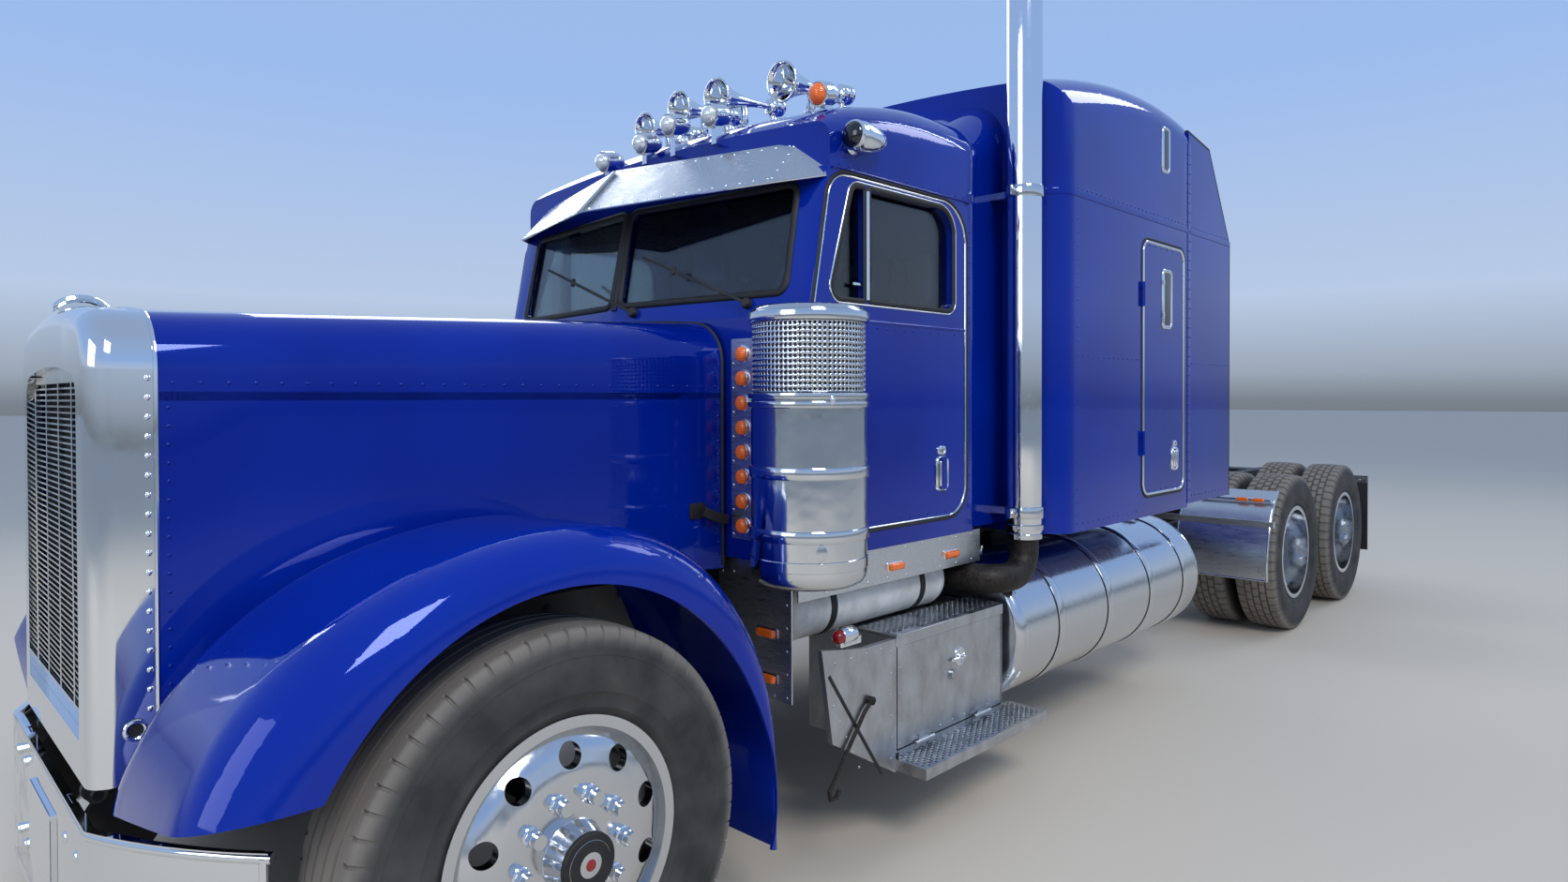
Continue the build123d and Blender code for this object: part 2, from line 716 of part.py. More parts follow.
# Cab doors: a panel as thick as the cab wall, hinged at its front edge, with its window cut
for side, side_name in ((1, "left"), (-1, "right")):
    with BuildPart() as cab_door:
        with BuildSketch(along(side * (cab_half_width - cab_wall))):
            door_outline(0)
        extrude(amount=side * cab_wall)
        with BuildSketch(along(side * (cab_half_width - cab_wall))):
            window_outline(0)
        extrude(amount=side * cab_wall, mode=Mode.SUBTRACT)
        vent_bar_y = front_axle_y + 1390
        with Locations((side * (cab_half_width - cab_wall / 2), vent_bar_y, (window_sill + window_top) / 2)):
            Box(20, 20, window_top - window_sill + 4)
        with Locations((side * (cab_half_width + 8), front_axle_y + 1861, 1348)):
            Box(20, 30, 130)
        for z in door_hinge_zs:
            for end in (-1, 1):
                cut_z = z + end * (door_hinge_length * 0.75 + hinge_end_gap)
                with Locations((side * door_hinge_x, door_hinge_y, cut_z)):
                    Cylinder(hinge_barrel_radius + 5, door_hinge_length / 2 + 6, mode=Mode.SUBTRACT)
            with Locations((side * door_hinge_x, door_hinge_y, z)):
                Cylinder(hinge_barrel_radius, door_hinge_length)
            with Locations((side * (cab_half_width + 1), door_hinge_y + 14, z)):
                Box(hinge_leaf_wall, 24, door_hinge_length)
            with Locations((side * door_hinge_x, door_hinge_y, z)):
                Cylinder(hinge_pin_radius + hinge_pin_clearance, 2 * door_hinge_length, mode=Mode.SUBTRACT)
    save(cab_door, f"cab_door_{side_name}")
    with BuildPart() as door_glass:
        with BuildSketch(along(side * (cab_half_width - cab_wall / 2 - 10))):
            window_outline(0)
        extrude(amount=-side * glass_thickness)
    save(door_glass, f"door_glass_{side_name}")

# Mirror on the right door: a tube loop with two arms, and the head behind it on two short bars
mirror_x = -1120
mirror_tube_y = front_axle_y + 1320
mirror_tube_radius = 11
mirror_head_y = front_axle_y + 1390
mirror_arm_zs = (1910, 2425)
with BuildPart() as mirror_right:
    with Locations((mirror_x + 50, mirror_head_y, 2145)):
        Box(130, 50, 370)
    fillet(mirror_right.edges().filter_by(Axis.Z), 20)
    for z in (2000, 2290):
        with Locations((mirror_x, (mirror_tube_y + mirror_head_y) / 2, z)):
            Box(14, mirror_head_y - mirror_tube_y, 20)
    with BuildLine() as loop_path:
        FilletPolyline(
            (-cab_half_width, mirror_tube_y, mirror_arm_zs[0]), (mirror_x, mirror_tube_y, mirror_arm_zs[0]),
            (mirror_x, mirror_tube_y, mirror_arm_zs[1]), (-cab_half_width, mirror_tube_y, mirror_arm_zs[1]),
            radius=50,
        )
    with BuildSketch(Plane(origin=(-cab_half_width, mirror_tube_y, mirror_arm_zs[0]), z_dir=(-1, 0, 0))):
        Circle(mirror_tube_radius)
    sweep(path=loop_path.wires()[0])
save(mirror_right, "mirror_right")

# Sleeper box with its narrower neck to the cab
sleeper_door_gap = 6
sleeper_hinge_x = sleeper_half_width + hinge_stand_off
sleeper_hinge_y = sleeper_door_front_y - sleeper_door_gap / 2
sleeper_hinge_zs = [1420, 2160]


def sleeper_plan(inset):
    with Locations((0, (sleeper_front_y + sleeper_back_y) / 2)):
        Rectangle(2 * (sleeper_half_width - inset), sleeper_back_y - sleeper_front_y - 2 * inset)
    fillet(vertices().sort_by(Axis.Y)[:2], sleeper_front_radius - inset)
    fillet(vertices().sort_by(Axis.Y)[-2:], sleeper_rear_radius)


def neck_plan(inset, overrun):
    with Locations((0, (neck_front_y + sleeper_front_y) / 2)):
        Rectangle(2 * (neck_half_width - inset), sleeper_front_y - neck_front_y + overrun)


def sleeper_door_outline(grow):
    with Locations(((sleeper_door_front_y + sleeper_door_rear_y) / 2, (sleeper_door_bottom + sleeper_door_top) / 2)):
        RectangleRounded(
            sleeper_door_rear_y - sleeper_door_front_y + 2 * grow,
            sleeper_door_top - sleeper_door_bottom + 2 * grow, 70 + grow,
        )


with BuildPart() as sleeper_shell:
    with BuildSketch(level(sleeper_floor)):
        sleeper_plan(0)
    extrude(amount=sleeper_seam - sleeper_floor)
    with BuildSketch(level(sleeper_floor + 40)):
        neck_plan(0, 2 * sleeper_front_radius)
    extrude(amount=sleeper_seam - sleeper_floor - 40)
    with Locations((0, neck_front_y - 500, 1800)):
        Box(3000, 1000, 3000, mode=Mode.SUBTRACT)
    with BuildSketch(level(sleeper_floor + sleeper_wall)):
        sleeper_plan(sleeper_wall)
    extrude(amount=sleeper_seam - sleeper_floor, mode=Mode.SUBTRACT)
    with BuildSketch(level(sleeper_floor + 40 + sleeper_wall)):
        neck_plan(sleeper_wall, 2 * sleeper_front_radius)
    extrude(amount=sleeper_seam - sleeper_floor, mode=Mode.SUBTRACT)
    for distance in (2600, 3700):
        with Locations((0, front_axle_y + distance, (rail_top + sleeper_floor) / 2)):
            Box(2 * rail_x, 120, sleeper_floor - rail_top)
    with BuildSketch(along(0)):
        sleeper_door_outline(sleeper_door_gap)
    extrude(amount=1400, both=True, mode=Mode.SUBTRACT)
    for side in (-1, 1):
        for z in sleeper_hinge_zs:
            hinge_barrels((side * sleeper_hinge_x, sleeper_hinge_y, z), (0, 0, 1), door_hinge_length)
            for end in (-1, 1):
                leaf_z = z + end * (door_hinge_length * 0.75 + hinge_end_gap)
                with Locations((side * (sleeper_half_width + 1), sleeper_hinge_y - 14, leaf_z)):
                    Box(hinge_leaf_wall, 24, door_hinge_length / 2)
save(sleeper_shell, "sleeper_shell")

# Sleeper roof: a domed cap over the sleeper with a fairing that comes down to the cab roof
# columns: y from the front axle, top of the crown, shoulder radius
sleeper_roof_sections = [
    (2450, 3110, 170),
    (2800, 3200, 190),
    (3300, 3270, 190),
    (3890, 3250, 180),
]
neck_roof_sections = [
    (2130.3, 2850, 170),
    (2330, 2980, 200),
    (2560, 3120, 200),
]
roof_crown = 60
with BuildPart() as sleeper_roof:
    for distance, top, radius in sleeper_roof_sections:
        with BuildSketch(across(front_axle_y + distance)):
            arch_outline(sleeper_half_width, sleeper_seam, top, radius, roof_crown)
    loft()
    with BuildSketch(level(sleeper_seam)):
        sleeper_plan(0)
    extrude(amount=1000, mode=Mode.INTERSECT)
    for distance, top, radius in neck_roof_sections:
        with BuildSketch(across(front_axle_y + distance)):
            arch_outline(neck_half_width, sleeper_seam, top, radius, roof_crown)
    loft()
    roof_half = sleeper_half_width - sleeper_wall
    for distance, top, radius in sleeper_roof_sections:
        first = distance == sleeper_roof_sections[0][0]
        last = distance == sleeper_roof_sections[-1][0]
        shift = sleeper_wall if first else -sleeper_wall if last else 0
        with BuildSketch(across(front_axle_y + distance + shift)):
            arch_outline(roof_half - 20, sleeper_seam, top - sleeper_wall, radius - sleeper_wall, roof_crown)
    loft(mode=Mode.SUBTRACT)
    for distance, top, radius in neck_roof_sections:
        with BuildSketch(across(front_axle_y + distance)):
            arch_outline(
                neck_half_width - sleeper_wall, sleeper_seam, top - sleeper_wall, radius - sleeper_wall, roof_crown
            )
    loft(mode=Mode.SUBTRACT)
save(sleeper_roof, "sleeper_roof")

# Side extenders behind the sleeper, seated against its rear wall and flush with its sides
extender_seat = 0.3
extender_front_y = sleeper_back_y + extender_seat
# columns: y, z round the plate's edge
extender_edge = [
    (extender_front_y, sleeper_floor + 20), (extender_front_y, 3085), (front_axle_y + 4200, 3047),
    (extender_rear_y, 2551), (extender_rear_y, sleeper_floor + 20),
]
with BuildPart() as side_extenders:
    for side in (-1, 1):
        with BuildSketch(along(side * sleeper_half_width)):
            with BuildLine():
                Polyline(*extender_edge, close=True)
            make_face()
        extrude(amount=-side * extender_thickness)
save(side_extenders, "side_extenders")

# Sleeper doors
for side, side_name in ((1, "left"), (-1, "right")):
    with BuildPart() as sleeper_door:
        with BuildSketch(along(side * (sleeper_half_width - sleeper_wall))):
            sleeper_door_outline(0)
        extrude(amount=side * sleeper_wall)
        for z in sleeper_hinge_zs:
            for end in (-1, 1):
                cut_z = z + end * (door_hinge_length * 0.75 + hinge_end_gap)
                with Locations((side * sleeper_hinge_x, sleeper_hinge_y, cut_z)):
                    Cylinder(hinge_barrel_radius + 5, door_hinge_length / 2 + 6, mode=Mode.SUBTRACT)
            with Locations((side * sleeper_hinge_x, sleeper_hinge_y, z)):
                Cylinder(hinge_barrel_radius, door_hinge_length)
            with Locations((side * (sleeper_half_width + 1), sleeper_hinge_y + 14, z)):
                Box(hinge_leaf_wall, 24, door_hinge_length)
            with Locations((side * sleeper_hinge_x, sleeper_hinge_y, z)):
                Cylinder(hinge_pin_radius + hinge_pin_clearance, 2 * door_hinge_length, mode=Mode.SUBTRACT)
    save(sleeper_door, f"sleeper_door_{side_name}")

# Dashboard with the steering column, seats, steering wheel
wheel_centre = Vector(480, front_axle_y + 1560, 1800)
column_axis = Vector(0, 0.77, 0.64).normalized()
steering_wheel_radius = 228
with BuildPart() as dashboard:
    with BuildSketch(along(0)):
        with BuildLine():
            Polyline(
                (cowl_front_y + cab_wall, 1560), (cowl_front_y + cab_wall, 1925), (front_axle_y + 1160, 1950),
                (front_axle_y + 1330, 1890), (front_axle_y + 1370, 1640), (front_axle_y + 1280, 1560), close=True,
            )
        make_face()
    extrude(amount=900, both=True)
    with BuildSketch(Plane(origin=wheel_centre - column_axis * 30, z_dir=-column_axis)):
        Circle(38)
    extrude(amount=290)
    add(cab_shell.part, mode=Mode.SUBTRACT)
save(dashboard, "dashboard")

with BuildPart() as steering_wheel:
    wheel_plane = Plane(origin=wheel_centre, x_dir=(1, 0, 0), z_dir=column_axis)
    with BuildSketch(Plane(origin=wheel_centre, x_dir=(1, 0, 0), z_dir=wheel_plane.y_dir)):
        with Locations((steering_wheel_radius, 0)):
            Circle(15)
    revolve(axis=Axis(wheel_centre, column_axis), revolution_arc=360)
    with BuildSketch(wheel_plane.offset(-14)):
        Circle(62)
        for angle in (90, 210, 330):
            with Locations(Rotation(0, 0, angle)):
                with Locations((steering_wheel_radius / 2, 0)):
                    Rectangle(steering_wheel_radius - 8, 34)
    extrude(amount=20)
    with BuildSketch(wheel_plane.offset(-29.7)):
        Circle(20)
    extrude(amount=20)
save(steering_wheel, "steering_wheel")

with BuildPart() as seats:
    for side in (-1, 1):
        with Locations((side * 480, front_axle_y + 1800, cab_floor + cab_floor_wall + 165)):
            Box(380, 400, 330)
        with Locations((side * 480, front_axle_y + 1800, cab_floor + cab_floor_wall + 400)):
            Box(520, 540, 140)
        with BuildSketch(along(side * 480)):
            with BuildLine():
                Polyline(
                    (front_axle_y + 1950, cab_floor + 450), (front_axle_y + 2030, 2290),
                    (front_axle_y + 2078, 2290), (front_axle_y + 2070, cab_floor + 450), close=True,
                )
            make_face()
        extrude(amount=245, both=True)
save(seats, "seats")

# Sun visor: two plates that meet in a V, with end wings
visor_bottom = 2380
visor_slope_y = 170
visor_slope_z = 185
visor_sweep = 0.26
visor_half = 872
visor_plate = 5
visor_origin = (0, front_axle_y + 813, visor_bottom)
visor_plane = Plane(
    origin=visor_origin, x_dir=(1, visor_sweep, 0),
    z_dir=Vector(1, visor_sweep, 0).cross(Vector(0, visor_slope_y, visor_slope_z)),
)
# End wings, swept harder back to the cab's corner; corners as x, y, z in one plane
wing_corners = [
    (833, front_axle_y + 1049, 2402), (985, front_axle_y + 1166, 2420), (930, front_axle_y + 1212, 2506),
    (820, front_axle_y + 1207, 2576),
]
wing_plane = Plane(
    origin=wing_corners[0], x_dir=Vector(*wing_corners[1]) - Vector(*wing_corners[0]),
    z_dir=(Vector(*wing_corners[1]) - Vector(*wing_corners[0])).cross(
        Vector(*wing_corners[3]) - Vector(*wing_corners[0])
    ),
)
wing_outline = [wing_plane.to_local_coords(Vector(*corner)) for corner in wing_corners]
with BuildPart() as sun_visor:
    with BuildSketch(visor_plane):
        with BuildLine():
            Polyline((-20, 0), (visor_half, 30), (visor_half + 25, 262), (-60, 262), close=True)
        make_face()
    extrude(amount=-visor_plate)
    with Locations((-1000, front_axle_y + 1000, 2500)):
        Box(2000, 2000, 1000, mode=Mode.SUBTRACT)
    with BuildSketch(wing_plane):
        with BuildLine():
            Polyline(*[(corner.X, corner.Y) for corner in wing_outline], close=True)
        make_face()
    extrude(amount=-visor_plate)
    add(cab_roof_envelope, mode=Mode.SUBTRACT)
    add(cab_shell.part, mode=Mode.SUBTRACT)
    mirror(about=Plane.YZ)
save(sun_visor, "sun_visor")

# Air cleaners: bottom dome, strap bands, perforated band and cap; brackets to the cowl
# columns: radius, height, as the turned outline from the bottom up
cleaner_profile = [
    (0, 0), (140, 0), (175, 22), (183, 60), (183, 130), (190, 130), (190, 170), (183, 170), (183, 330),
    (190, 330), (190, 370), (183, 370), (183, 560), (192, 560), (192, 600), (178, 600), (178, 820),
    (190, 820), (190, 850), (170, 871), (0, 871),
]
with BuildPart() as air_cleaners:
    with BuildSketch(Plane(origin=(cleaner_x, cleaner_y, cleaner_bottom), x_dir=(1, 0, 0), z_dir=(0, -1, 0))):
        with BuildLine():
            Polyline(*cleaner_profile, close=True)
        make_face()
    revolve(axis=Axis((cleaner_x, cleaner_y, cleaner_bottom), (0, 0, 1)), revolution_arc=360)
    for height in (150, 580):
        with BuildSketch(level(cleaner_bottom + height - 20)):
            with BuildLine():
                Polyline(
                    (cleaner_x - 150, cleaner_y - 20), (cleaner_x - 60, cleaner_y + 100),
                    (cab_half_width - 35, cowl_front_y + 60), (cab_half_width - 85, cowl_front_y + 8), close=True,
                )
            make_face()
        extrude(amount=40)
    add(cab_shell.part, mode=Mode.SUBTRACT)
    mirror(about=Plane.YZ)
save(air_cleaners, "air_cleaners")

# Polished panels: cowl lamp strips, cowl lower panels and skirts under the cab
strip_x = 785
strip_width = 118
strip_bottom = 1160
strip_top = 1855
panel_wall = 6
lamp_radius = 26
lamp_pitch = 85
cowl_lamp_count = 8
cowl_lamp_bottom = 1207
skirt_lamp_ys = [front_axle_y + d for d in (1200, 1568, 1941)]
panel_lamp_zs = [845, 690]
skirt_middle_y = (cowl_corner_y + cab_back_y) / 2
with BuildPart() as stainless_panels:
    for side in (-1, 1):
        with Locations((side * strip_x, cowl_front_y - panel_wall / 2, (strip_bottom + strip_top) / 2)):
            Box(strip_width, panel_wall, strip_top - strip_bottom)
        with Locations((side * 802, cowl_front_y + 30, 835)):
            Box(360, panel_wall, 430)
        with Locations((side * 802, cowl_front_y + 60, 1068)):
            Box(360, 80, 44)
        with Locations((side * (cab_half_width - 12), skirt_middle_y, (skirt_bottom + cab_floor) / 2)):
            Box(panel_wall, cab_back_y - cowl_corner_y + 60, cab_floor - skirt_bottom)
save(stainless_panels, "stainless_panels")

# Amber marker lamps on the cowl strips, the lower cowl panels and the skirts
with BuildPart() as marker_lamps:
    for side in (-1, 1):
        for index in range(cowl_lamp_count):
            z = cowl_lamp_bottom + index * lamp_pitch
            with BuildSketch(across(cowl_front_y - panel_wall)):
                with Locations((side * strip_x, z)):
                    Circle(lamp_radius)
            extrude(amount=22, taper=25)
        for z in panel_lamp_zs:
            with Locations((side * 868, cowl_front_y + 30 - panel_wall / 2 - 12, z)):
                Box(90, 24, 32)
        for y in skirt_lamp_ys:
            with Locations((side * (cab_half_width - 12 + panel_wall / 2 + 11), y, 1010)):
                Box(22, 100, 32)
save(marker_lamps, "marker_lamps")


def turned_body(plane, profile):
    """A body turned about the plane's y axis from a profile of radius and length."""
    with BuildSketch(plane) as half_section:
        with BuildLine() as outline:
            Polyline(*profile, close=True)
        make_face(outline.edges())
    revolve(half_section.sketch, axis=Axis(plane.origin, plane.y_dir), revolution_arc=360)


def roof_plane(x, distance, z, tilt):
    """A plane whose y axis runs rearwards and rises by the tilt."""
    return Plane(origin=(x, front_axle_y + distance, z), x_dir=(1, 0, 0), z_dir=(0, -tilt, 1))


# Air horns on the roof: trumpets with flared mouths, on feet
# columns: x, y from the front axle, z of the axis, length, mouth radius
horn_table = [
    (-161, 1260, 2835, 330, 70),
    (71, 1260, 2874, 350, 72),
    (308, 1260, 2867, 380, 76),
    (677, 1260, 2839, 400, 78),
]
horn_tilt = 0.1
horn_foot = (30, 90, 240)
with BuildPart() as air_horns:
    for x, distance, z, length, mouth in horn_table:
        turned_body(roof_plane(x, distance, z, horn_tilt), [
            (0, 40), (mouth * 0.5, 40), (mouth * 0.95, 0), (mouth, 0), (mouth, 10), (mouth * 0.7, 38),
            (mouth * 0.5, 80), (mouth * 0.42, 120), (14, length - 70), (38, length - 60), (38, length), (0, length),
        ])
        with Locations((x, front_axle_y + distance + length - 150, z - horn_foot[2] / 2 + 15)):
            Box(*horn_foot)
    add(cab_roof_envelope, mode=Mode.SUBTRACT)
save(air_horns, "air_horns")

# Bullet lamps on the roof's front slope, the last one amber
# columns: x, y from the front axle, z of the axis
bullet_table = [
    (-286, 1130, 2686), (-18, 1130, 2716), (169, 1130, 2755), (420, 1130, 2740), (862, 1262, 2752),
]
bullet_profile = [(0, -35), (35, -21), (47, 0), (47, 50), (31, 90), (0, 112)]
bullet_tilt = 0.2
bullet_foot = (34, 110, 95)
with BuildPart() as roof_lamps:
    for x, distance, z in bullet_table:
        turned_body(roof_plane(x, distance, z, bullet_tilt), bullet_profile)
        with Locations((x, front_axle_y + distance + 35, z - bullet_foot[2] / 2)):
            Box(*bullet_foot)
    add(cab_roof_envelope, mode=Mode.SUBTRACT)
save(roof_lamps, "roof_lamps")

# Teardrop spot lamps at the cab's upper front corners, each on a short bracket
spot_x = 1030
spot_distance = 1300
spot_z = 2570
spot_profile = [(0, -70), (30, -62), (50, -35), (55, 0), (48, 60), (30, 110), (0, 140)]
with BuildPart() as spot_lamps:
    for side in (-1, 1):
        turned_body(roof_plane(side * spot_x, spot_distance, spot_z, 0), spot_profile)
        with Locations((side * (spot_x - 30), front_axle_y + spot_distance + 10, spot_z - 25)):
            Box(60, 40, 30)
    add(cab_roof_envelope, mode=Mode.SUBTRACT)
save(spot_lamps, "spot_lamps")

# Exhaust stack on the left: a straight pipe with clamps, an elbow forwards and the pipe in to the frame
elbow_radius = 105
lower_pipe_radius = 60
lower_pipe_z = 890
lower_pipe_y = stack_y - 245
stack_bottom = 1040
with BuildPart() as exhaust_stack:
    with BuildSketch(level(stack_bottom)):
        with Locations((stack_x, stack_y)):
            Circle(stack_radius)
            Circle(stack_radius - 4, mode=Mode.SUBTRACT)
    extrude(amount=stack_top - stack_bottom)
    with BuildSketch(level(stack_bottom)):
        with Locations((stack_x, stack_y)):
            Circle(stack_radius - 2)
    extrude(amount=12)
    with BuildLine() as lower_path:
        FilletPolyline(
            (stack_x, stack_y, stack_bottom + 6), (stack_x, stack_y, lower_pipe_z),
            (stack_x, lower_pipe_y, lower_pipe_z), (rail_x + 90, lower_pipe_y, lower_pipe_z),
            radius=elbow_radius,
        )
    with BuildSketch(Plane(origin=(stack_x, stack_y, stack_bottom + 6), z_dir=(0, 0, -1))):
        Circle(lower_pipe_radius)
    sweep(path=lower_path.wires()[0])
    for z in (1155, 2530):
        with BuildSketch(level(z - 25)):
            with Locations((stack_x, stack_y)):
                Circle(stack_radius + 6)
            with Locations(((stack_x + neck_half_width - 30) / 2, stack_y)):
                Rectangle(stack_x - neck_half_width + 30, 40)
            with Locations((stack_x, stack_y)):
                Circle(stack_radius - 1, mode=Mode.SUBTRACT)
        extrude(amount=50)
    with Locations((0, stack_y, 2000)):
        Box(2 * neck_half_width, 160, 2000, mode=Mode.SUBTRACT)
save(exhaust_stack, "exhaust_stack")

# Fuel tanks: round tanks with strap bands, a filler and frame brackets
with BuildPart() as fuel_tanks:
    with BuildSketch(across(tank_front_y)):
        with Locations((tank_x, tank_z)):
            Circle(tank_radius - 6)
    extrude(amount=-(tank_rear_y - tank_front_y))
    fillet(fuel_tanks.edges().filter_by(GeomType.CIRCLE), 60)
    for fraction in (0.18, 0.42, 0.66, 0.88):
        y = tank_front_y + fraction * (tank_rear_y - tank_front_y)
        with BuildSketch(across(y - 30)):
            with Locations((tank_x, tank_z)):
                Circle(tank_radius)
        extrude(amount=-60)
        with Locations(((rail_x + tank_x) / 2, y, tank_z - 60)):
            Box(tank_x - rail_x, 60, 360)
        with Locations((rail_x + 20, y, tank_z + 130)):
            Box(40, 60, 360)
    with BuildSketch(level(tank_z + tank_radius - 60)):
        with Locations((tank_x, tank_rear_y - 240)):
            Circle(55)
    extrude(amount=90)
    mirror(about=Plane.YZ)
save(fuel_tanks, "fuel_tanks")

# Step boxes: a hollow box with an outer door opening, a tread top, a gusset and a lower step
box_front_y = front_axle_y + 1471
box_rear_y = front_axle_y + 2215
box_outer_x = 1050
box_inner_x = 620
box_bottom = 341
box_top = 764
box_wall = 6
step_outer_x = 1190
step_height = 40
door_play = 6
box_hinge_x = box_outer_x + hinge_stand_off
box_hinge_z = box_bottom + box_wall + door_play / 2
box_hinge_ys = [box_front_y + 170, box_rear_y - 170]
box_middle = Vector((box_inner_x + box_outer_x) / 2, (box_front_y + box_rear_y) / 2, (box_bottom + box_top) / 2)
with BuildPart() as step_boxes:
    for side in (-1, 1):
        with Locations((side * box_middle.X, box_middle.Y, box_middle.Z)):
            Box(box_outer_x - box_inner_x, box_rear_y - box_front_y, box_top - box_bottom)
        with Locations((side * (box_middle.X + box_wall), box_middle.Y, box_middle.Z)):
            Box(
                box_outer_x - box_inner_x, box_rear_y - box_front_y - 2 * box_wall,
                box_top - box_bottom - 2 * box_wall, mode=Mode.SUBTRACT,
            )
        with Locations((side * (rail_x + box_inner_x) / 2, (box_front_y + box_rear_y) / 2, 740)):
            Box(box_inner_x - rail_x, 200, 30)
        with BuildSketch(along(side * (box_outer_x - 20))):
            with BuildLine():
                Polyline(
                    (front_axle_y + 1065, 800), (box_front_y - 180, box_top), (box_front_y, box_top),
                    (box_front_y, box_bottom - 70), (front_axle_y + 1120, 470), close=True,
                )
            make_face()
        extrude(amount=side * 20)
        with Locations((side * ((box_outer_x + step_outer_x) / 2 - 20), box_middle.Y + 60, box_bottom - 40)):
            Box(step_outer_x - box_outer_x + 40, box_rear_y - box_front_y + 130, step_height)
        with Locations((side * (box_outer_x - 80), box_middle.Y, box_bottom - 20)):
            Box(160, box_rear_y - box_front_y - 40, 40)
        for y in box_hinge_ys:
            hinge_barrels((side * box_hinge_x, y, box_hinge_z), (0, 1, 0), door_hinge_length)
            for end in (-1, 1):
                leaf_y = y + end * (door_hinge_length * 0.75 + hinge_end_gap)
                with Locations((side * (box_outer_x + 1), leaf_y, box_hinge_z - 12)):
                    Box(hinge_leaf_wall, door_hinge_length / 2, 20)
save(step_boxes, "step_boxes")

for side, side_name in ((1, "left"), (-1, "right")):
    with BuildPart() as toolbox_door:
        with Locations((side * (box_outer_x - 6), box_middle.Y, box_middle.Z)):
            Box(
                12, box_rear_y - box_front_y - 2 * box_wall - 2 * door_play,
                box_top - box_bottom - 2 * box_wall - 2 * door_play,
            )
        with Locations((side * (box_outer_x + 5), box_middle.Y, box_middle.Z)):
            Cylinder(20, 10, rotation=(0, 90, 0))
        for y in box_hinge_ys:
            for end in (-1, 1):
                cut_y = y + end * (door_hinge_length * 0.75 + hinge_end_gap)
                with Locations((side * box_hinge_x, cut_y, box_hinge_z)):
                    Cylinder(
                        hinge_barrel_radius + 5, door_hinge_length / 2 + 6, rotation=(90, 0, 0), mode=Mode.SUBTRACT
                    )
            with Locations((side * box_hinge_x, y, box_hinge_z)):
                Cylinder(hinge_barrel_radius, door_hinge_length, rotation=(90, 0, 0))
            with Locations((side * (box_outer_x + 1), y, box_hinge_z + 14)):
                Box(hinge_leaf_wall, door_hinge_length, 24)
            with Locations((side * box_hinge_x, y, box_hinge_z)):
                Cylinder(
                    hinge_pin_radius + hinge_pin_clearance, 2 * door_hinge_length, rotation=(90, 0, 0),
                    mode=Mode.SUBTRACT,
                )
    save(toolbox_door, f"toolbox_door_{side_name}")

# Air reservoirs under the cab
with BuildPart() as air_reservoirs:
    with BuildSketch(across(front_axle_y + 1080)):
        with Locations((800, 890)):
            Circle(reservoir_radius)
    extrude(amount=-940)
    fillet(air_reservoirs.edges().filter_by(GeomType.CIRCLE), 50)
    for distance in (1230, 1870):
        with Locations(((rail_x + 740) / 2, front_axle_y + distance, 890)):
            Box(740 - rail_x, 60, 90)
    mirror(about=Plane.YZ)
save(air_reservoirs, "air_reservoirs")

# Quarter fenders ahead of the drive wheels and mud flaps behind them
quarter_y = drive_axle_ys[0] - 640
with BuildPart() as quarter_fenders:
    for side in (-1, 1):
        with BuildSketch(along(side * 582)):
            with BuildLine():
                ThreePointArc((quarter_y - 40, 430), (quarter_y + 5, 760), (quarter_y + 190, 1010))
                Line((quarter_y + 190, 1010), (quarter_y + 196, 1005))
                ThreePointArc((quarter_y + 196, 1005), (quarter_y + 13, 756), (quarter_y - 32, 430))
                Line((quarter_y - 32, 430), (quarter_y - 40, 430))
            make_face()
        extrude(amount=side * 603)
        with Locations((side * (rail_x + 385), quarter_y + 30, 800)):
            Box(770, 40, 40)
save(quarter_fenders, "quarter_fenders")

with BuildPart() as mud_flaps:
    for side in (-1, 1):
        with Locations((side * dual_centre_x, overall_length / 2 - 5, 640)):
            Box(610, 10, 640)
        with Locations((side * (rail_x + 560) / 2, (rail_rear_y + overall_length / 2 - 10) / 2, 930)):
            Box(560 - rail_x + 300, overall_length / 2 - 10 - rail_rear_y, 40)
save(mud_flaps, "mud_flaps")

# Fifth wheel: base brackets on the frame and the tilting plate with its throat
pivot_y = tandem_y - 150
pivot_z = fifth_wheel_z - 75
with BuildPart() as fifth_wheel_base:
    for side in (-1, 1):
        with BuildSketch(along(side * 330)):
            with BuildLine():
                Polyline(
                    (pivot_y - 220, rail_top), (pivot_y - 45, pivot_z + 10), (pivot_y + 45, pivot_z + 10),
                    (pivot_y + 220, rail_top), close=True,
                )
            make_face()
            with Locations((pivot_y, pivot_z)):
                Circle(32)
        extrude(amount=side * 40)
        with Locations((side * 380, pivot_y, rail_top + 8)):
            Box(140, 700, 16)
        with BuildSketch(along(side * 330)):
            with Locations((pivot_y, pivot_z)):
                Circle(22)
        extrude(amount=-side * 70)
save(fifth_wheel_base, "fifth_wheel_base")

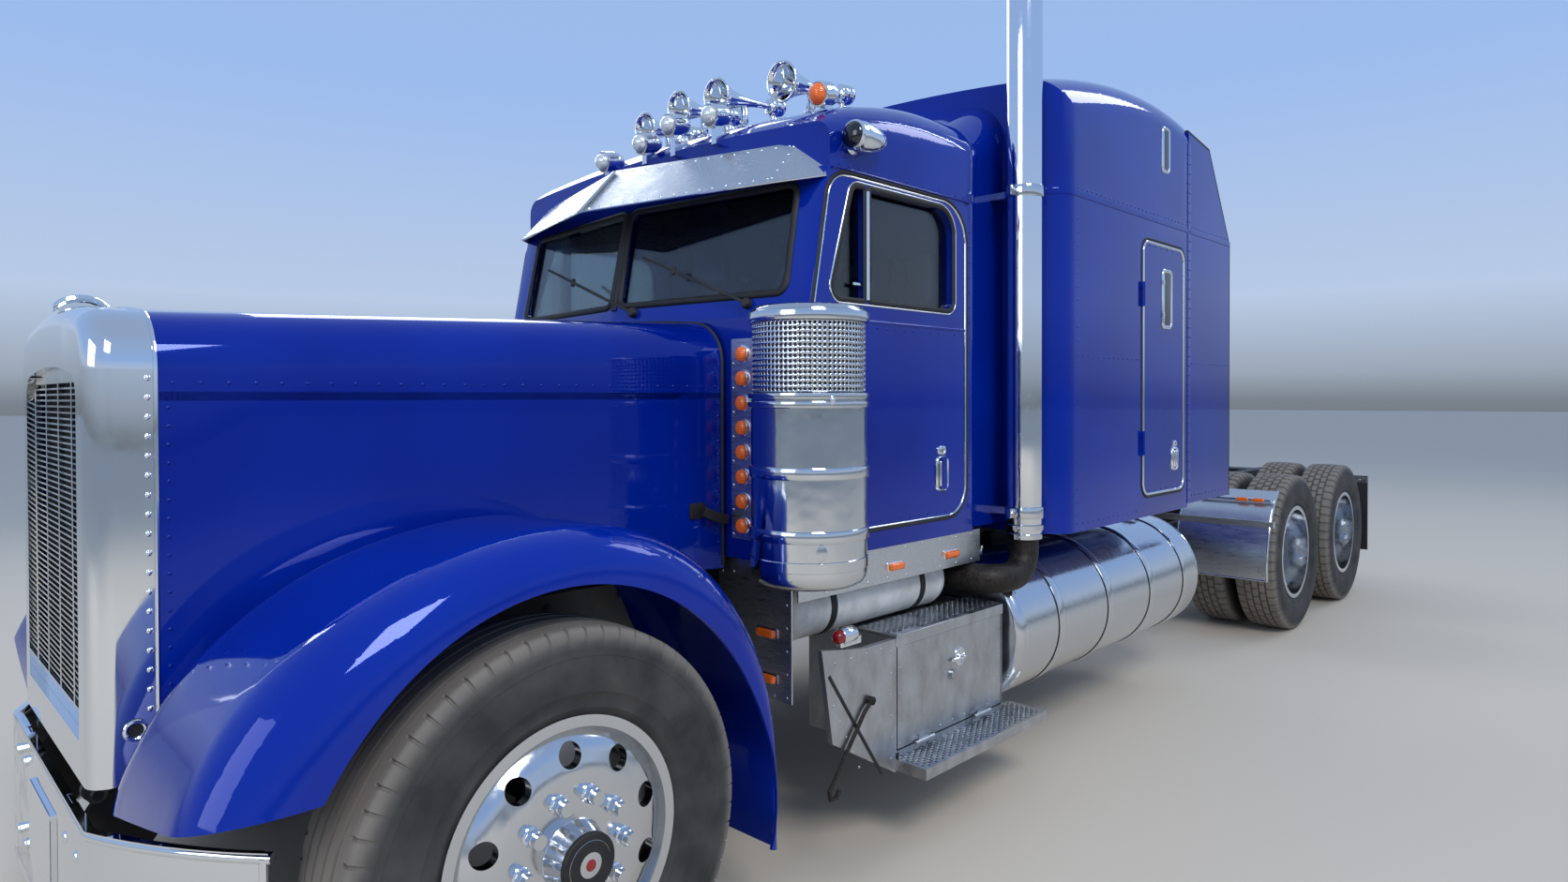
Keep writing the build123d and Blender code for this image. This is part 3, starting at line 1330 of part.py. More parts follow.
with BuildPart() as fifth_wheel:
    with BuildSketch(level(fifth_wheel_z - 30)):
        with Locations((0, pivot_y)):
            Circle(460)
        with Locations((0, pivot_y + 560)):
            Rectangle(1200, 500, mode=Mode.SUBTRACT)
        with Locations((0, pivot_y)):
            Circle(kingpin_bore_radius, mode=Mode.SUBTRACT)
        with BuildLine():
            Polyline((-14, pivot_y + 20), (14, pivot_y + 20), (150, pivot_y + 400), (-150, pivot_y + 400), close=True)
        make_face(mode=Mode.SUBTRACT)
    extrude(amount=30)
    for side in (-1, 1):
        with BuildSketch(along(side * 270)):
            with BuildLine():
                Polyline(
                    (pivot_y - 60, fifth_wheel_z - 30), (pivot_y - 34, pivot_z), (pivot_y + 34, pivot_z),
                    (pivot_y + 60, fifth_wheel_z - 30), close=True,
                )
            make_face()
            with Locations((pivot_y, pivot_z)):
                Circle(34)
            with Locations((pivot_y, pivot_z)):
                Circle(22 + spindle_clearance, mode=Mode.SUBTRACT)
        extrude(amount=side * 50)
save(fifth_wheel, "fifth_wheel")


# Tyres and wheels are turned about the X axis; columns are distance from the wheel's mid plane and radius
def tyre_profile(centre_x):
    half = tyre_width / 2
    bead = rim_width / 2 - 14
    with BuildLine() as outline:
        Line((centre_x - bead, bead_radius), (centre_x + bead, bead_radius))
        Line((centre_x + bead, bead_radius), (centre_x + bead + 6, rim_lip_radius + 8))
        ThreePointArc(
            (centre_x + bead + 6, rim_lip_radius + 8), (centre_x + half, 430), (centre_x + half - 20, 510),
        )
        Line((centre_x + half - 20, 510), (centre_x + half - 34, tyre_radius - 6))
        ThreePointArc(
            (centre_x + half - 34, tyre_radius - 6), (centre_x, tyre_radius), (centre_x - half + 34, tyre_radius - 6),
        )
        Line((centre_x - half + 34, tyre_radius - 6), (centre_x - half + 20, 510))
        ThreePointArc(
            (centre_x - half + 20, 510), (centre_x - half, 430), (centre_x - bead - 6, rim_lip_radius + 8),
        )
        Line((centre_x - bead - 6, rim_lip_radius + 8), (centre_x - bead, bead_radius))
    make_face(outline.edges())


def turned_plane(y):
    """A plane whose x is X and whose y is the radius, upright through the axle at y."""
    return Plane(origin=(0, y, tyre_radius), x_dir=(1, 0, 0), z_dir=(0, -1, 0))


def axle_axis(y):
    return Axis((0, y, tyre_radius), (1, 0, 0))


def barrel_profile(centre_x):
    half = rim_width / 2
    with BuildLine() as outline:
        Polyline(
            (centre_x - half, bead_radius - 14), (centre_x - half, rim_lip_radius),
            (centre_x - half + 8, rim_lip_radius), (centre_x - half + 14, bead_radius - 0.2),
            (centre_x + half - 14, bead_radius - 0.2), (centre_x + half - 8, rim_lip_radius),
            (centre_x + half, rim_lip_radius), (centre_x + half, bead_radius - 14), close=True,
        )
    make_face(outline.edges())


def disc_holes(axle_y, count, circle, radius, x_from, x_to):
    with BuildSketch(along(x_from)) as holes:
        with Locations((axle_y, tyre_radius)):
            with PolarLocations(circle, count, start_angle=18):
                Circle(radius)
    extrude(holes.sketch, amount=x_to - x_from, mode=Mode.SUBTRACT)


for side, side_name in ((1, "left"), (-1, "right")):
    centre_x = side * steer_track_half
    with BuildPart() as front_tyre:
        with BuildSketch(turned_plane(front_axle_y)):
            tyre_profile(centre_x)
        revolve(axis=axle_axis(front_axle_y), revolution_arc=360)
    save(front_tyre, f"front_tyre_{side_name}")

    # Steer wheel: the disc bulges outwards, with hand holes, ten nuts and the hub with its cap
    with BuildPart() as front_rim:
        with BuildSketch(turned_plane(front_axle_y)):
            barrel_profile(centre_x)
            with BuildLine():
                Polyline(
                    (centre_x + side * 60, bead_radius - 10), (centre_x + side * 84, bead_radius - 10),
                    (centre_x + side * 118, 262), (centre_x + side * 138, 200), (centre_x + side * 138, 60),
                    (centre_x + side * 116, 60), (centre_x + side * 112, 200), (centre_x + side * 92, 255),
                    close=True,
                )
            make_face()
            with BuildLine():
                Polyline(
                    (centre_x - side * 30, spindle_radius + spindle_clearance),
                    (centre_x - side * 30, 105), (centre_x + side * 118, 105), (centre_x + side * 140, 84),
                    (centre_x + side * 200, 72), (centre_x + side * 212, 50), (centre_x + side * 212, 0),
                    (centre_x + side * 100, 0), (centre_x + side * 100, spindle_radius + spindle_clearance),
                    close=True,
                )
            make_face()
        revolve(axis=axle_axis(front_axle_y), revolution_arc=360)
        disc_holes(front_axle_y, 10, hand_hole_circle, hand_hole_radius, centre_x + side * 80, centre_x + side * 150)
        with BuildSketch(along(centre_x + side * 136)):
            with Locations((front_axle_y, tyre_radius)):
                with PolarLocations(lug_circle_radius, lug_count):
                    Circle(17)
        extrude(amount=side * 46)
    save(front_rim, f"front_rim_{side_name}")

    # Knuckle: a fork round the beam end with its pin, the spindle and the steering arm
    with BuildPart() as knuckle:
        for z in (tyre_radius - 95, tyre_radius + 60):
            with BuildSketch(level(z)):
                with Locations((side * kingpin_x, front_axle_y)):
                    Circle(45)
                with Locations((side * (kingpin_x + 45), front_axle_y)):
                    Rectangle(90, 90)
            extrude(amount=35)
        with BuildSketch(level(tyre_radius - 95)):
            with Locations((side * (kingpin_x + 80), front_axle_y)):
                Rectangle(36, 90)
        extrude(amount=190)
        with BuildSketch(level(tyre_radius - 95)):
            with Locations((side * kingpin_x, front_axle_y)):
                Circle(kingpin_radius)
        extrude(amount=190)
        with BuildSketch(along(side * (kingpin_x + 70))):
            with Locations((front_axle_y, tyre_radius)):
                Circle(spindle_radius)
        extrude(amount=side * (steer_track_half + 98 - kingpin_x - 70))
        arm_y_end = front_axle_y + steer_arm_length
        with BuildSketch(level(steer_arm_z - 15)):
            with BuildLine():
                Polyline(
                    (side * (kingpin_x + 60), front_axle_y + 20), (side * (kingpin_x + steer_arm_half), arm_y_end),
                    (side * (kingpin_x - steer_arm_half), arm_y_end), (side * (kingpin_x - 5), front_axle_y + 20),
                    close=True,
                )
            make_face()
            with Locations((side * kingpin_x, arm_y_end)):
                Circle(tie_end_radius)
        extrude(amount=30)
        with BuildSketch(level(steer_arm_z - 15)):
            with Locations((side * (kingpin_x + 28), front_axle_y)):
                Rectangle(66, 60)
        extrude(amount=60)
        with BuildSketch(level(steer_arm_z - 70)):
            with Locations((side * kingpin_x, arm_y_end)):
                Circle(tie_pin_radius)
        extrude(amount=70)
    save(knuckle, f"steer_{side_name}")

    for axle_y, axle_name in zip(drive_axle_ys, ("front", "rear")):
        outer_x = side * (dual_centre_x + dual_spacing / 2)
        inner_x = side * (dual_centre_x - dual_spacing / 2)
        with BuildPart() as drive_tyres:
            for centre_x in (outer_x, inner_x):
                with BuildSketch(turned_plane(axle_y)):
                    tyre_profile(centre_x)
                revolve(axis=axle_axis(axle_y), revolution_arc=360)
        save(drive_tyres, f"drive_tyres_{axle_name}_{side_name}")

        # Drive wheels: two barrels whose discs meet at the middle, with the hub and the axle flange
        mid_x = side * dual_centre_x
        with BuildPart() as drive_rims:
            for centre_x in (outer_x, inner_x):
                with BuildSketch(turned_plane(axle_y)):
                    barrel_profile(centre_x)
                revolve(axis=axle_axis(axle_y), revolution_arc=360)
            with BuildSketch(turned_plane(axle_y)):
                with BuildLine():
                    Polyline(
                        (mid_x + side * 75, bead_radius - 8), (mid_x + side * 98, bead_radius - 8),
                        (mid_x + side * 44, 225), (mid_x + side * 24, 190), (mid_x + side * 24, 60),
                        (mid_x - side * 24, 60), (mid_x - side * 24, 190), (mid_x - side * 44, 225),
                        (mid_x - side * 98, bead_radius - 8), (mid_x - side * 75, bead_radius - 8),
                        (mid_x - side * 20, 232), (mid_x + side * 20, 232), close=True,
                    )
                make_face()
                with BuildLine():
                    Polyline(
                        (mid_x - side * 200, housing_radius + spindle_clearance), (mid_x - side * 200, 205),
                        (mid_x - side * 60, 205), (mid_x - side * 60, 135), (mid_x, 135),
                        (mid_x + side * 60, 120), (mid_x + side * 150, 112), (mid_x + side * 172, 100),
                        (mid_x + side * 172, 70), (mid_x + side * 190, 62), (mid_x + side * 190, 0),
                        (mid_x, 0), (mid_x, housing_radius + spindle_clearance), close=True,
                    )
                make_face()
            revolve(axis=axle_axis(axle_y), revolution_arc=360)
            disc_holes(axle_y, 10, hand_hole_circle - 30, hand_hole_radius - 6, mid_x - side * 60, mid_x + side * 60)
            with BuildSketch(along(mid_x + side * 22)):
                with Locations((axle_y, tyre_radius)):
                    with PolarLocations(lug_circle_radius, lug_count):
                        Circle(17)
            extrude(amount=side * 50)
        save(drive_rims, f"drive_rims_{axle_name}_{side_name}")

# Tie rod between the steering arms, which are parallel, so that both wheels turn alike
with BuildPart() as tie_rod:
    with BuildSketch(along(0)):
        with Locations((front_axle_y + steer_arm_length, steer_arm_z - 45)):
            Circle(17)
    extrude(amount=kingpin_x, both=True)
    for side in (-1, 1):
        with BuildSketch(level(steer_arm_z - 65)):
            with Locations((side * kingpin_x, front_axle_y + steer_arm_length)):
                Circle(tie_end_radius)
        extrude(amount=42)
        with BuildSketch(level(steer_arm_z - 70)):
            with Locations((side * kingpin_x, front_axle_y + steer_arm_length)):
                Circle(tie_pin_radius + spindle_clearance)
        extrude(amount=60, mode=Mode.SUBTRACT)
save(tie_rod, "tie_rod")
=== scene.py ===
import json
from math import atan2, cos, hypot, pi, radians, sin, tan

import bmesh
import bpy
import numpy as np
from mathutils import Matrix, Vector


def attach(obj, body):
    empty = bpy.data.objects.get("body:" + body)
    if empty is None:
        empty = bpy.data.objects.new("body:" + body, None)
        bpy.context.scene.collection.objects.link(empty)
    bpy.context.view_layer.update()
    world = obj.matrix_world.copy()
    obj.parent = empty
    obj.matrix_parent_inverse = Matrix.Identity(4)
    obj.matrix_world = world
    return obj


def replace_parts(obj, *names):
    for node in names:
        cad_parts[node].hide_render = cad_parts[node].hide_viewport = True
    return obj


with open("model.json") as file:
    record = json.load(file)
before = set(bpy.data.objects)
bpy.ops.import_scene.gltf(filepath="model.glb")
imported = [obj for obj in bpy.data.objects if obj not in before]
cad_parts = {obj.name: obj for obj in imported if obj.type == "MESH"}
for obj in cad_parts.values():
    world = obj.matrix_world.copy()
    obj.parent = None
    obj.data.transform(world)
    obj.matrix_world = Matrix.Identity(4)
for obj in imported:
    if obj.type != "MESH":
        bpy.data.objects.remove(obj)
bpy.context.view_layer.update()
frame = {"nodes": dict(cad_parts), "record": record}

# Metres, forward is -Y, the truck's left is +X, ground at Z = 0
frontAxleY = -3.580
sideNames = ((1, "left"), (-1, "right"))
xAxis, yAxis, zAxis = np.eye(3)


# Materials

def fromHex(code):
    # each sRGB channel turned linear: c/12.92 below 0.04045, else ((c+0.055)/1.055)^2.4
    channels = [int(code[i:i + 2], 16) / 255 for i in (1, 3, 5)]
    return [c / 12.92 if c <= 0.04045 else ((c + 0.055) / 1.055) ** 2.4 for c in channels] + [1.0]


def addNode(tree, kind, settings=None, values=None, links=None):
    node = tree.nodes.new(kind)
    for key, value in (settings or {}).items():
        setattr(node, key, value)
    for key, value in (values or {}).items():
        node.inputs[key].default_value = value
    for key, source in (links or {}).items():
        tree.links.new(source, node.inputs[key])
    return node


def startMaterial(name, surface):
    material = bpy.data.materials.new(name)
    material.use_nodes = True
    tree = material.node_tree
    shader = tree.nodes["Principled BSDF"]
    for key, value in surface.items():
        shader.inputs[key].default_value = fromHex(value) if isinstance(value, str) else value
    place = addNode(tree, "ShaderNodeTexCoord")
    return material, tree, shader, place.outputs["Object"]


def mixColours(tree, factor, low, high):
    mix = addNode(tree, "ShaderNodeMix", {"data_type": "RGBA"}, links={"Factor": factor})
    mix.inputs[6].default_value = fromHex(low)
    mix.inputs[7].default_value = fromHex(high)
    return mix.outputs[2]


def spreadTo(tree, source, low, high, fromLow=0.3, fromHigh=0.7):
    span = addNode(tree, "ShaderNodeMapRange", values={
        "From Min": fromLow, "From Max": fromHigh, "To Min": low, "To Max": high}, links={"Value": source})
    return span.outputs["Result"]


def patternAt(tree, place, pattern):
    # a noise given as (millimetres a feature, detail, stretch), or a texture node with its settings and output
    if isinstance(pattern[0], str):
        kind, settings, scale, output = pattern
        return addNode(tree, kind, settings, {"Scale": scale}, {"Vector": place}).outputs[output]
    millimetres, detail, stretch = (*pattern, *(3.0, (1, 1, 1))[len(pattern) - 1:])
    mapped = addNode(tree, "ShaderNodeMapping", values={"Scale": stretch}, links={"Vector": place})
    noise = addNode(tree, "ShaderNodeTexNoise", values={"Scale": 1000 / millimetres, "Detail": detail},
                    links={"Vector": mapped.outputs["Vector"]})
    return noise.outputs["Fac"]


def bumpFrom(tree, shader, height, depth, strength):
    bump = addNode(tree, "ShaderNodeBump", values={"Strength": strength, "Distance": depth},
                   links={"Height": height})
    tree.links.new(bump.outputs["Normal"], shader.inputs["Normal"])


def makeFinish(name, surface, tone=None, haze=None, bump=None):
    # tone: a pattern, two colours and the span it is read over; haze: a pattern and two roughnesses;
    # bump: a pattern, its depth and its strength
    material, tree, shader, place = startMaterial(name, surface)
    if tone:
        pattern, low, high, *span = tone
        factor = patternAt(tree, place, pattern)
        if not isinstance(pattern[0], str):
            factor = spreadTo(tree, factor, 0, 1, *span)
        tree.links.new(mixColours(tree, factor, low, high), shader.inputs["Base Color"])
    if haze:
        pattern, low, high = haze
        tree.links.new(spreadTo(tree, patternAt(tree, place, pattern), low, high), shader.inputs["Roughness"])
    if bump:
        pattern, depth, strength = bump
        bumpFrom(tree, shader, patternAt(tree, place, pattern), depth, strength)
    return material


# Tyre rubber: black, dry and slightly brown where it meets the road
def makeTyreRubber():
    material, tree, shader, place = startMaterial("vulcanisedTyreRubber", {
        "Base Color": "#222222", "Roughness": 0.72})
    dust = spreadTo(tree, patternAt(tree, place, (130, 4.0)), 0.38, 0.56)
    tread = addNode(tree, "ShaderNodeAttribute", {"attribute_name": "treadDust"}).outputs["Fac"]
    dusty = addNode(tree, "ShaderNodeMath", {"operation": "MULTIPLY_ADD"}, {1: 0.55}, {0: tread, 2: dust})
    tree.links.new(mixColours(tree, spreadTo(tree, dusty.outputs[0], 0, 1, 0.40, 1.05), "#252526", "#7c756c"),
                   shader.inputs["Base Color"])
    tree.links.new(spreadTo(tree, dust, 0.62, 0.85), shader.inputs["Roughness"])
    bumpFrom(tree, shader, patternAt(tree, place, (6, 4.0)), 0.0008, 0.5)
    return material


lensRibs = ("ShaderNodeTexWave", {"bands_direction": "Z"}, 60.0, "Fac")
clearRibs = ("ShaderNodeTexWave", {"bands_direction": "X"}, 60.0, "Fac")
vinylGrain = ("ShaderNodeTexVoronoi", {}, 350.0, "Distance")
clothThreads = ("ShaderNodeTexChecker", {}, 330.0, "Fac")
finishes = {
    # sprayed and clear-coated enamel: deep cobalt under gloss, with a faint orange peel
    "cobalt_paint": makeFinish("cobaltClearcoatEnamel", {
        "Base Color": "#02249a", "Metallic": 0.0, "Roughness": 0.07, "Specular IOR Level": 0.5,
        "Specular Tint": "#3f74ff", "Coat Weight": 0.5, "Coat IOR": 1.5, "Coat Roughness": 0.02},
        tone=((700, 2.0), "#011b7c", "#022793"), bump=((9, 2.0), 0.0002, 0.12)),
    # bright chrome plate: near mirror with a faint haze
    "chrome_plate": makeFinish("platedChrome", {"Base Color": "#e4e7ea", "Metallic": 1.0, "Roughness": 0.05},
                               haze=((45,), 0.03, 0.09)),
    # rolled stainless sheet, mirror buffed: soft waves from pressing show in its reflections
    "stainless_sheet": makeFinish("buffedStainlessSheet", {
        "Base Color": "#d3d6d9", "Metallic": 1.0, "Roughness": 0.09},
        haze=((60,), 0.05, 0.14), bump=((70, 1.0), 0.003, 0.35)),
    # polished cast or spun aluminium: softer mirror, slightly uneven
    "polished_aluminium": makeFinish("polishedAluminium", {
        "Base Color": "#cfd2d6", "Metallic": 1.0, "Roughness": 0.14},
        haze=((30,), 0.09, 0.22), bump=((120, 2.0), 0.002, 0.2)),
    # chassis enamel: black, satin, dusted brown
    "frame_black": makeFinish("chassisEnamel", {"Base Color": "#1a1a1b", "Metallic": 0.0, "Roughness": 0.5},
                              tone=((90, 6.0), "#17171a", "#3a352e", 0.45, 0.75), haze=((90, 6.0), 0.42, 0.75)),
    "tyre_rubber": makeTyreRubber(),
    # laminated float glass, faintly green
    "window_glass": makeFinish("laminatedGlass", {
        "Base Color": "#8fa1a3", "Roughness": 0.0, "IOR": 1.5, "Transmission Weight": 1.0, "Alpha": 0.85},
        haze=((200,), 0.0, 0.03)),
    # pressed acrylic lens, amber, with fine level ribs
    "amber_lens": makeFinish("amberAcrylic", {
        "Base Color": "#e8620c", "Roughness": 0.12, "IOR": 1.49, "Coat Weight": 0.6, "Subsurface Weight": 0.1,
        "Emission Color": "#ff6a10", "Emission Strength": 0.08},
        tone=(lensRibs, "#c9430a", "#f98422"), bump=(lensRibs, 0.0008, 0.4)),
    # grained vinyl and moulded plastic inside the cab
    "cab_trim": makeFinish("grainedVinyl", {"Base Color": "#26272b", "Roughness": 0.6},
                           tone=((160,), "#222327", "#303136"), bump=(vinylGrain, 0.0005, 0.4)),
    # woven seat cloth: crossed threads 3 mm apart, drawn coarse enough to show
    "seat_cloth": makeFinish("wovenSeatCloth", {"Base Color": "#2d3038", "Roughness": 0.9, "Sheen Weight": 0.3},
                             tone=(clothThreads, "#262930", "#3a3e48"), bump=(clothThreads, 0.0006, 0.5)),
    # tank enamel, white, dulled by road film
    "tank_white": makeFinish("whiteTankEnamel", {"Base Color": "#d9d8d4", "Roughness": 0.3},
                             tone=((80, 5.0), "#c4c1ba", "#e6e5e2")),
    # sand-cast iron: dark, grainy, greased
    "cast_iron": makeFinish("castIron", {"Base Color": "#2b2a29", "Metallic": 0.6, "Roughness": 0.55},
                            tone=((12, 6.0), "#1f1e1d", "#423a33"), haze=((12, 6.0), 0.4, 0.7),
                            bump=((12, 6.0), 0.001, 0.4)),
    # soft moulded rubber for flaps, seals and wipers
    "flap_rubber": makeFinish("mouldedRubber", {"Base Color": "#161616", "Roughness": 0.6},
                              tone=((50, 5.0), "#111112", "#232120"), bump=((5, 3.0), 0.0005, 0.3)),
}
# mill aluminium with road film on it: dull, streaked upright
millAluminium = makeFinish("millAluminium", {"Base Color": "#a5a9ac", "Metallic": 1.0, "Roughness": 0.35},
                           tone=((60, 6.0, (1, 1, 0.6)), "#a9acaf", "#c6c9cc"),
                           haze=((60, 6.0, (1, 1, 0.6)), 0.26, 0.42), bump=((14, 2.0), 0.0006, 0.35))
# stainless sheet brushed lengthwise: a satin sheen without sharp images
brushedStainless = makeFinish("brushedStainlessSheet", {"Base Color": "#cfd2d6", "Metallic": 1.0, "Roughness": 0.3},
                              haze=((5, 3.0, (0.05, 1, 1)), 0.24, 0.38), bump=((90, 1.0), 0.004, 0.4))
# pressed acrylic: red and clear lenses, and the smoked panes of vents, lamps and gauges
redAcrylic = makeFinish("redAcrylic", {"Base Color": "#8f1013", "Roughness": 0.15, "IOR": 1.49, "Coat Weight": 0.5},
                        bump=((6,), 0.0006, 0.4))
clearAcrylic = makeFinish("clearAcrylic", {
    "Base Color": "#d9dee0", "Roughness": 0.1, "IOR": 1.49, "Coat Weight": 0.8, "Metallic": 0.4},
    bump=(clearRibs, 0.0008, 0.5))
smokedAcrylic = makeFinish("smokedAcrylic", {
    "Base Color": "#0d0f12", "Roughness": 0.08, "IOR": 1.49, "Coat Weight": 0.6}, bump=((80,), 0.0006, 0.2))
print("materials made")


# Mesh helpers: a shape is a pair of points and faces

def cornersToQuads(rows, columns, closeRows=False, closeColumns=False):
    # a grid of rows x columns points gives one quad per cell, wrapping where it is closed
    r = np.arange(rows if closeRows else rows - 1)[:, None]
    c = np.arange(columns if closeColumns else columns - 1)[None, :]
    r2, c2 = (r + 1) % rows, (c + 1) % columns
    quads = np.stack([r * columns + c, r2 * columns + c, r2 * columns + c2, r * columns + c2], axis=-1)
    return quads.reshape(-1, 4)


def showMesh(name, mesh, merge, sharpAngle, body, slotName, material, turnOut):
    # doubles merged and smooth shading with sharp edges; the piece rides its body and takes its slot's finish, or the
    # material given
    shown = bmesh.new()
    shown.from_mesh(mesh)
    bmesh.ops.remove_doubles(shown, verts=shown.verts, dist=merge)
    if turnOut:
        bmesh.ops.recalc_face_normals(shown, faces=shown.faces)
    shown.to_mesh(mesh)
    shown.free()
    if mesh.attributes.get("custom_normal"):
        mesh.attributes.remove(mesh.attributes["custom_normal"])
    mesh.shade_smooth()
    mesh.set_sharp_from_angle(angle=radians(sharpAngle))
    mesh.materials.clear()
    mesh.materials.append(material or finishes[slotName])
    piece = bpy.data.objects.new(name, mesh)
    bpy.context.scene.collection.objects.link(piece)
    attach(piece, body)
    return piece


def putPiece(name, shape, slotName, body="chassis", material=None, sharpAngle=40):
    mesh = bpy.data.meshes.new(name)
    points, faces = shape
    mesh.from_pydata(np.asarray(points, float).reshape(-1, 3).tolist(), [], [list(map(int, f)) for f in faces])
    mesh.validate()
    return showMesh(name, mesh, 1e-6, sharpAngle, body, slotName, material, True)


def mirrored(shape):
    # the same shape on the other side, its faces turned over
    points, faces = shape
    return np.asarray(points) * [-1, 1, 1], [list(f)[::-1] for f in faces]


def putPair(name, shape, slotName, body="chassis", material=None, sharpAngle=40):
    # a shape on the left and its mirror image on the right, as one piece
    return putPiece(name, joined([shape, mirrored(shape)]), slotName, body, material, sharpAngle)


def putSide(name, shape, side, slotName, body, material=None):
    return putPiece(name, shape if side > 0 else mirrored(shape), slotName, body, material)


slotOf = {row["node"]: row["material_slot"] for row in frame["record"]["subparts"]}
bodyOf = {node: body for body, members in frame["record"]["behaviour"]["bodies"].items() for node in members}


def dressNode(node, material=None, sharpAngle=32):
    # a copy of the CAD mesh, its doubles merged, so that curved faces shade smoothly
    name = node + "_skin"
    mesh = frame["nodes"][node].data.copy()
    mesh.name = name
    piece = showMesh(name, mesh, 2e-5, sharpAngle, bodyOf[node], slotOf[node], material, False)
    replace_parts(piece, node)


def turnOutline(outline, steps=48):
    # each outline point (radius, height) is carried round Z: (r cos a, r sin a, h)
    outline = np.asarray(outline, float)
    angle = np.linspace(0, 2 * pi, steps, endpoint=False)[:, None]
    points = np.stack([outline[None, :, 0] * np.cos(angle), outline[None, :, 0] * np.sin(angle),
                       np.broadcast_to(outline[None, :, 1], (steps, len(outline)))], axis=-1)
    return points.reshape(-1, 3), cornersToQuads(steps, len(outline), closeRows=True)


def setAt(shape, place, axis=zAxis, spin=0.0):
    # the shape moved to the place with its Z along the axis, turned about it by the spin
    turn = np.array(Vector(axis).to_track_quat("Z", "Y").to_matrix() @ Matrix.Rotation(spin, 3, "Z"))
    return np.asarray(shape[0]) @ turn.T + np.asarray(place, float), shape[1]


def turned(outline, steps, place, axis=zAxis, closed=False):
    # a lathe-turned shape at its place; a closed outline comes back to its first point
    return setAt(turnOutline(outline + outline[:1] if closed else outline, steps), place, axis)


def joined(shapes):
    # several shapes become one, each face list moved on past the points before it
    points, faces, first = [], [], 0
    for part, quads in shapes:
        points.append(np.asarray(part, float).reshape(-1, 3))
        faces += [[int(i) + first for i in face] for face in quads]
        first += len(points[-1])
    return np.vstack(points), faces


def repeated(shape, places, axis):
    # the same small shape at each place, with its Z along the axis
    return joined([setAt(shape, place, axis) for place in places])


def alongPath(path, outline, up, closed=False):
    # the outline (aside, up) stands square to the path at each of its points; open ends get one face each
    path, outline = np.asarray(path, float), np.asarray(outline, float)
    if closed:
        ahead, behind = np.roll(path, -1, 0), np.roll(path, 1, 0)
    else:
        ahead, behind = np.vstack([path[1:], path[-1:]]), np.vstack([path[:1], path[:-1]])
    run = ahead - behind
    run /= np.linalg.norm(run, axis=1)[:, None]
    aside = np.cross(run, np.broadcast_to(up, path.shape))
    aside /= np.linalg.norm(aside, axis=1)[:, None]
    lift = np.cross(aside, run)
    points = (path[:, None] + outline[None, :, :1] * aside[:, None] + outline[None, :, 1:] * lift[:, None])
    tube = points.reshape(-1, 3), cornersToQuads(len(path), len(outline), closed, True)
    return tube if closed else capped(tube, len(outline))


def capped(tube, ringSize):
    # the two open ends of a tube are closed by one face each
    points, faces = tube
    count = len(points)
    faces = [list(f) for f in faces] + [list(range(ringSize)), list(range(count - ringSize, count))[::-1]]
    return points, faces


def ring(radius, steps=12, flatness=1.0):
    angle = np.linspace(0, 2 * pi, steps, endpoint=False)
    return np.stack([radius * np.cos(angle), radius * flatness * np.sin(angle)], axis=-1)


def circlePlaces(x, y, z, radius, count):
    # evenly round a wheel's axis, which lies along X
    return [(x, y + radius * cos(a), z + radius * sin(a)) for a in np.linspace(0, 2 * pi, count, endpoint=False)]


def roundCorners(corners, radii, steps=8):
    # each corner of a flat outline gives way to an arc of its own radius that touches both sides
    corners = np.asarray(corners, float)
    radii = np.broadcast_to(radii, len(corners))
    found = []
    for i, radius in enumerate(radii):
        here, last, after = corners[i], corners[i - 1], corners[(i + 1) % len(corners)]
        a, b = (last - here) / np.linalg.norm(last - here), (after - here) / np.linalg.norm(after - here)
        half = np.arccos(np.clip(a @ b, -1, 1)) / 2
        if radius < 1e-6 or half > pi / 2 - 0.02:
            found.append(here[None])
            continue
        reachAlong = radius / tan(half)
        centre = here + (a + b) / np.linalg.norm(a + b) * radius / sin(half)
        start, end = here + a * reachAlong - centre, here + b * reachAlong - centre
        share = np.linspace(0, 1, steps)[:, None]
        between = start * (1 - share) + end * share
        found.append(centre + between / np.linalg.norm(between, axis=1)[:, None] * radius)
    return np.vstack(found)


def roundedBox(width, height, radius, steps=5):
    w, h = width / 2, height / 2
    return roundCorners([(-w, -h), (w, -h), (w, h), (-w, h)], radius, steps)


def onSide(flat, x):
    # a (y, z) outline stood up at one x
    return np.column_stack([np.full(len(flat), x), flat])


def domeSection(half, height, steps=7):
    # half a flat ellipse: 2 half wide, standing out by the height
    a = np.linspace(0, pi, steps)
    return np.column_stack([half * np.cos(a), height * np.sin(a)])


def boxShape(size, bevel=0.0):
    # a box with its corners cut by the bevel: eight-sided section, upright
    x, y, z = np.asarray(size, float) / 2
    b = min(bevel, x * 0.9, y * 0.9)
    loop = [(x - b, y), (x, y - b), (x, -y + b), (x - b, -y), (-x + b, -y), (-x, -y + b), (-x, y - b), (-x + b, y)]
    levels = [(-z, 1), (-z + b, 0), (z - b, 0), (z, 1)]
    points = [(px * (1 - inn * b / x), py * (1 - inn * b / y), pz) for pz, inn in levels for px, py in loop]
    return capped((np.array(points), cornersToQuads(4, 8, False, True)), 8)


def block(size, bevel, place, axis=zAxis):
    return setAt(boxShape(size, bevel), place, axis)


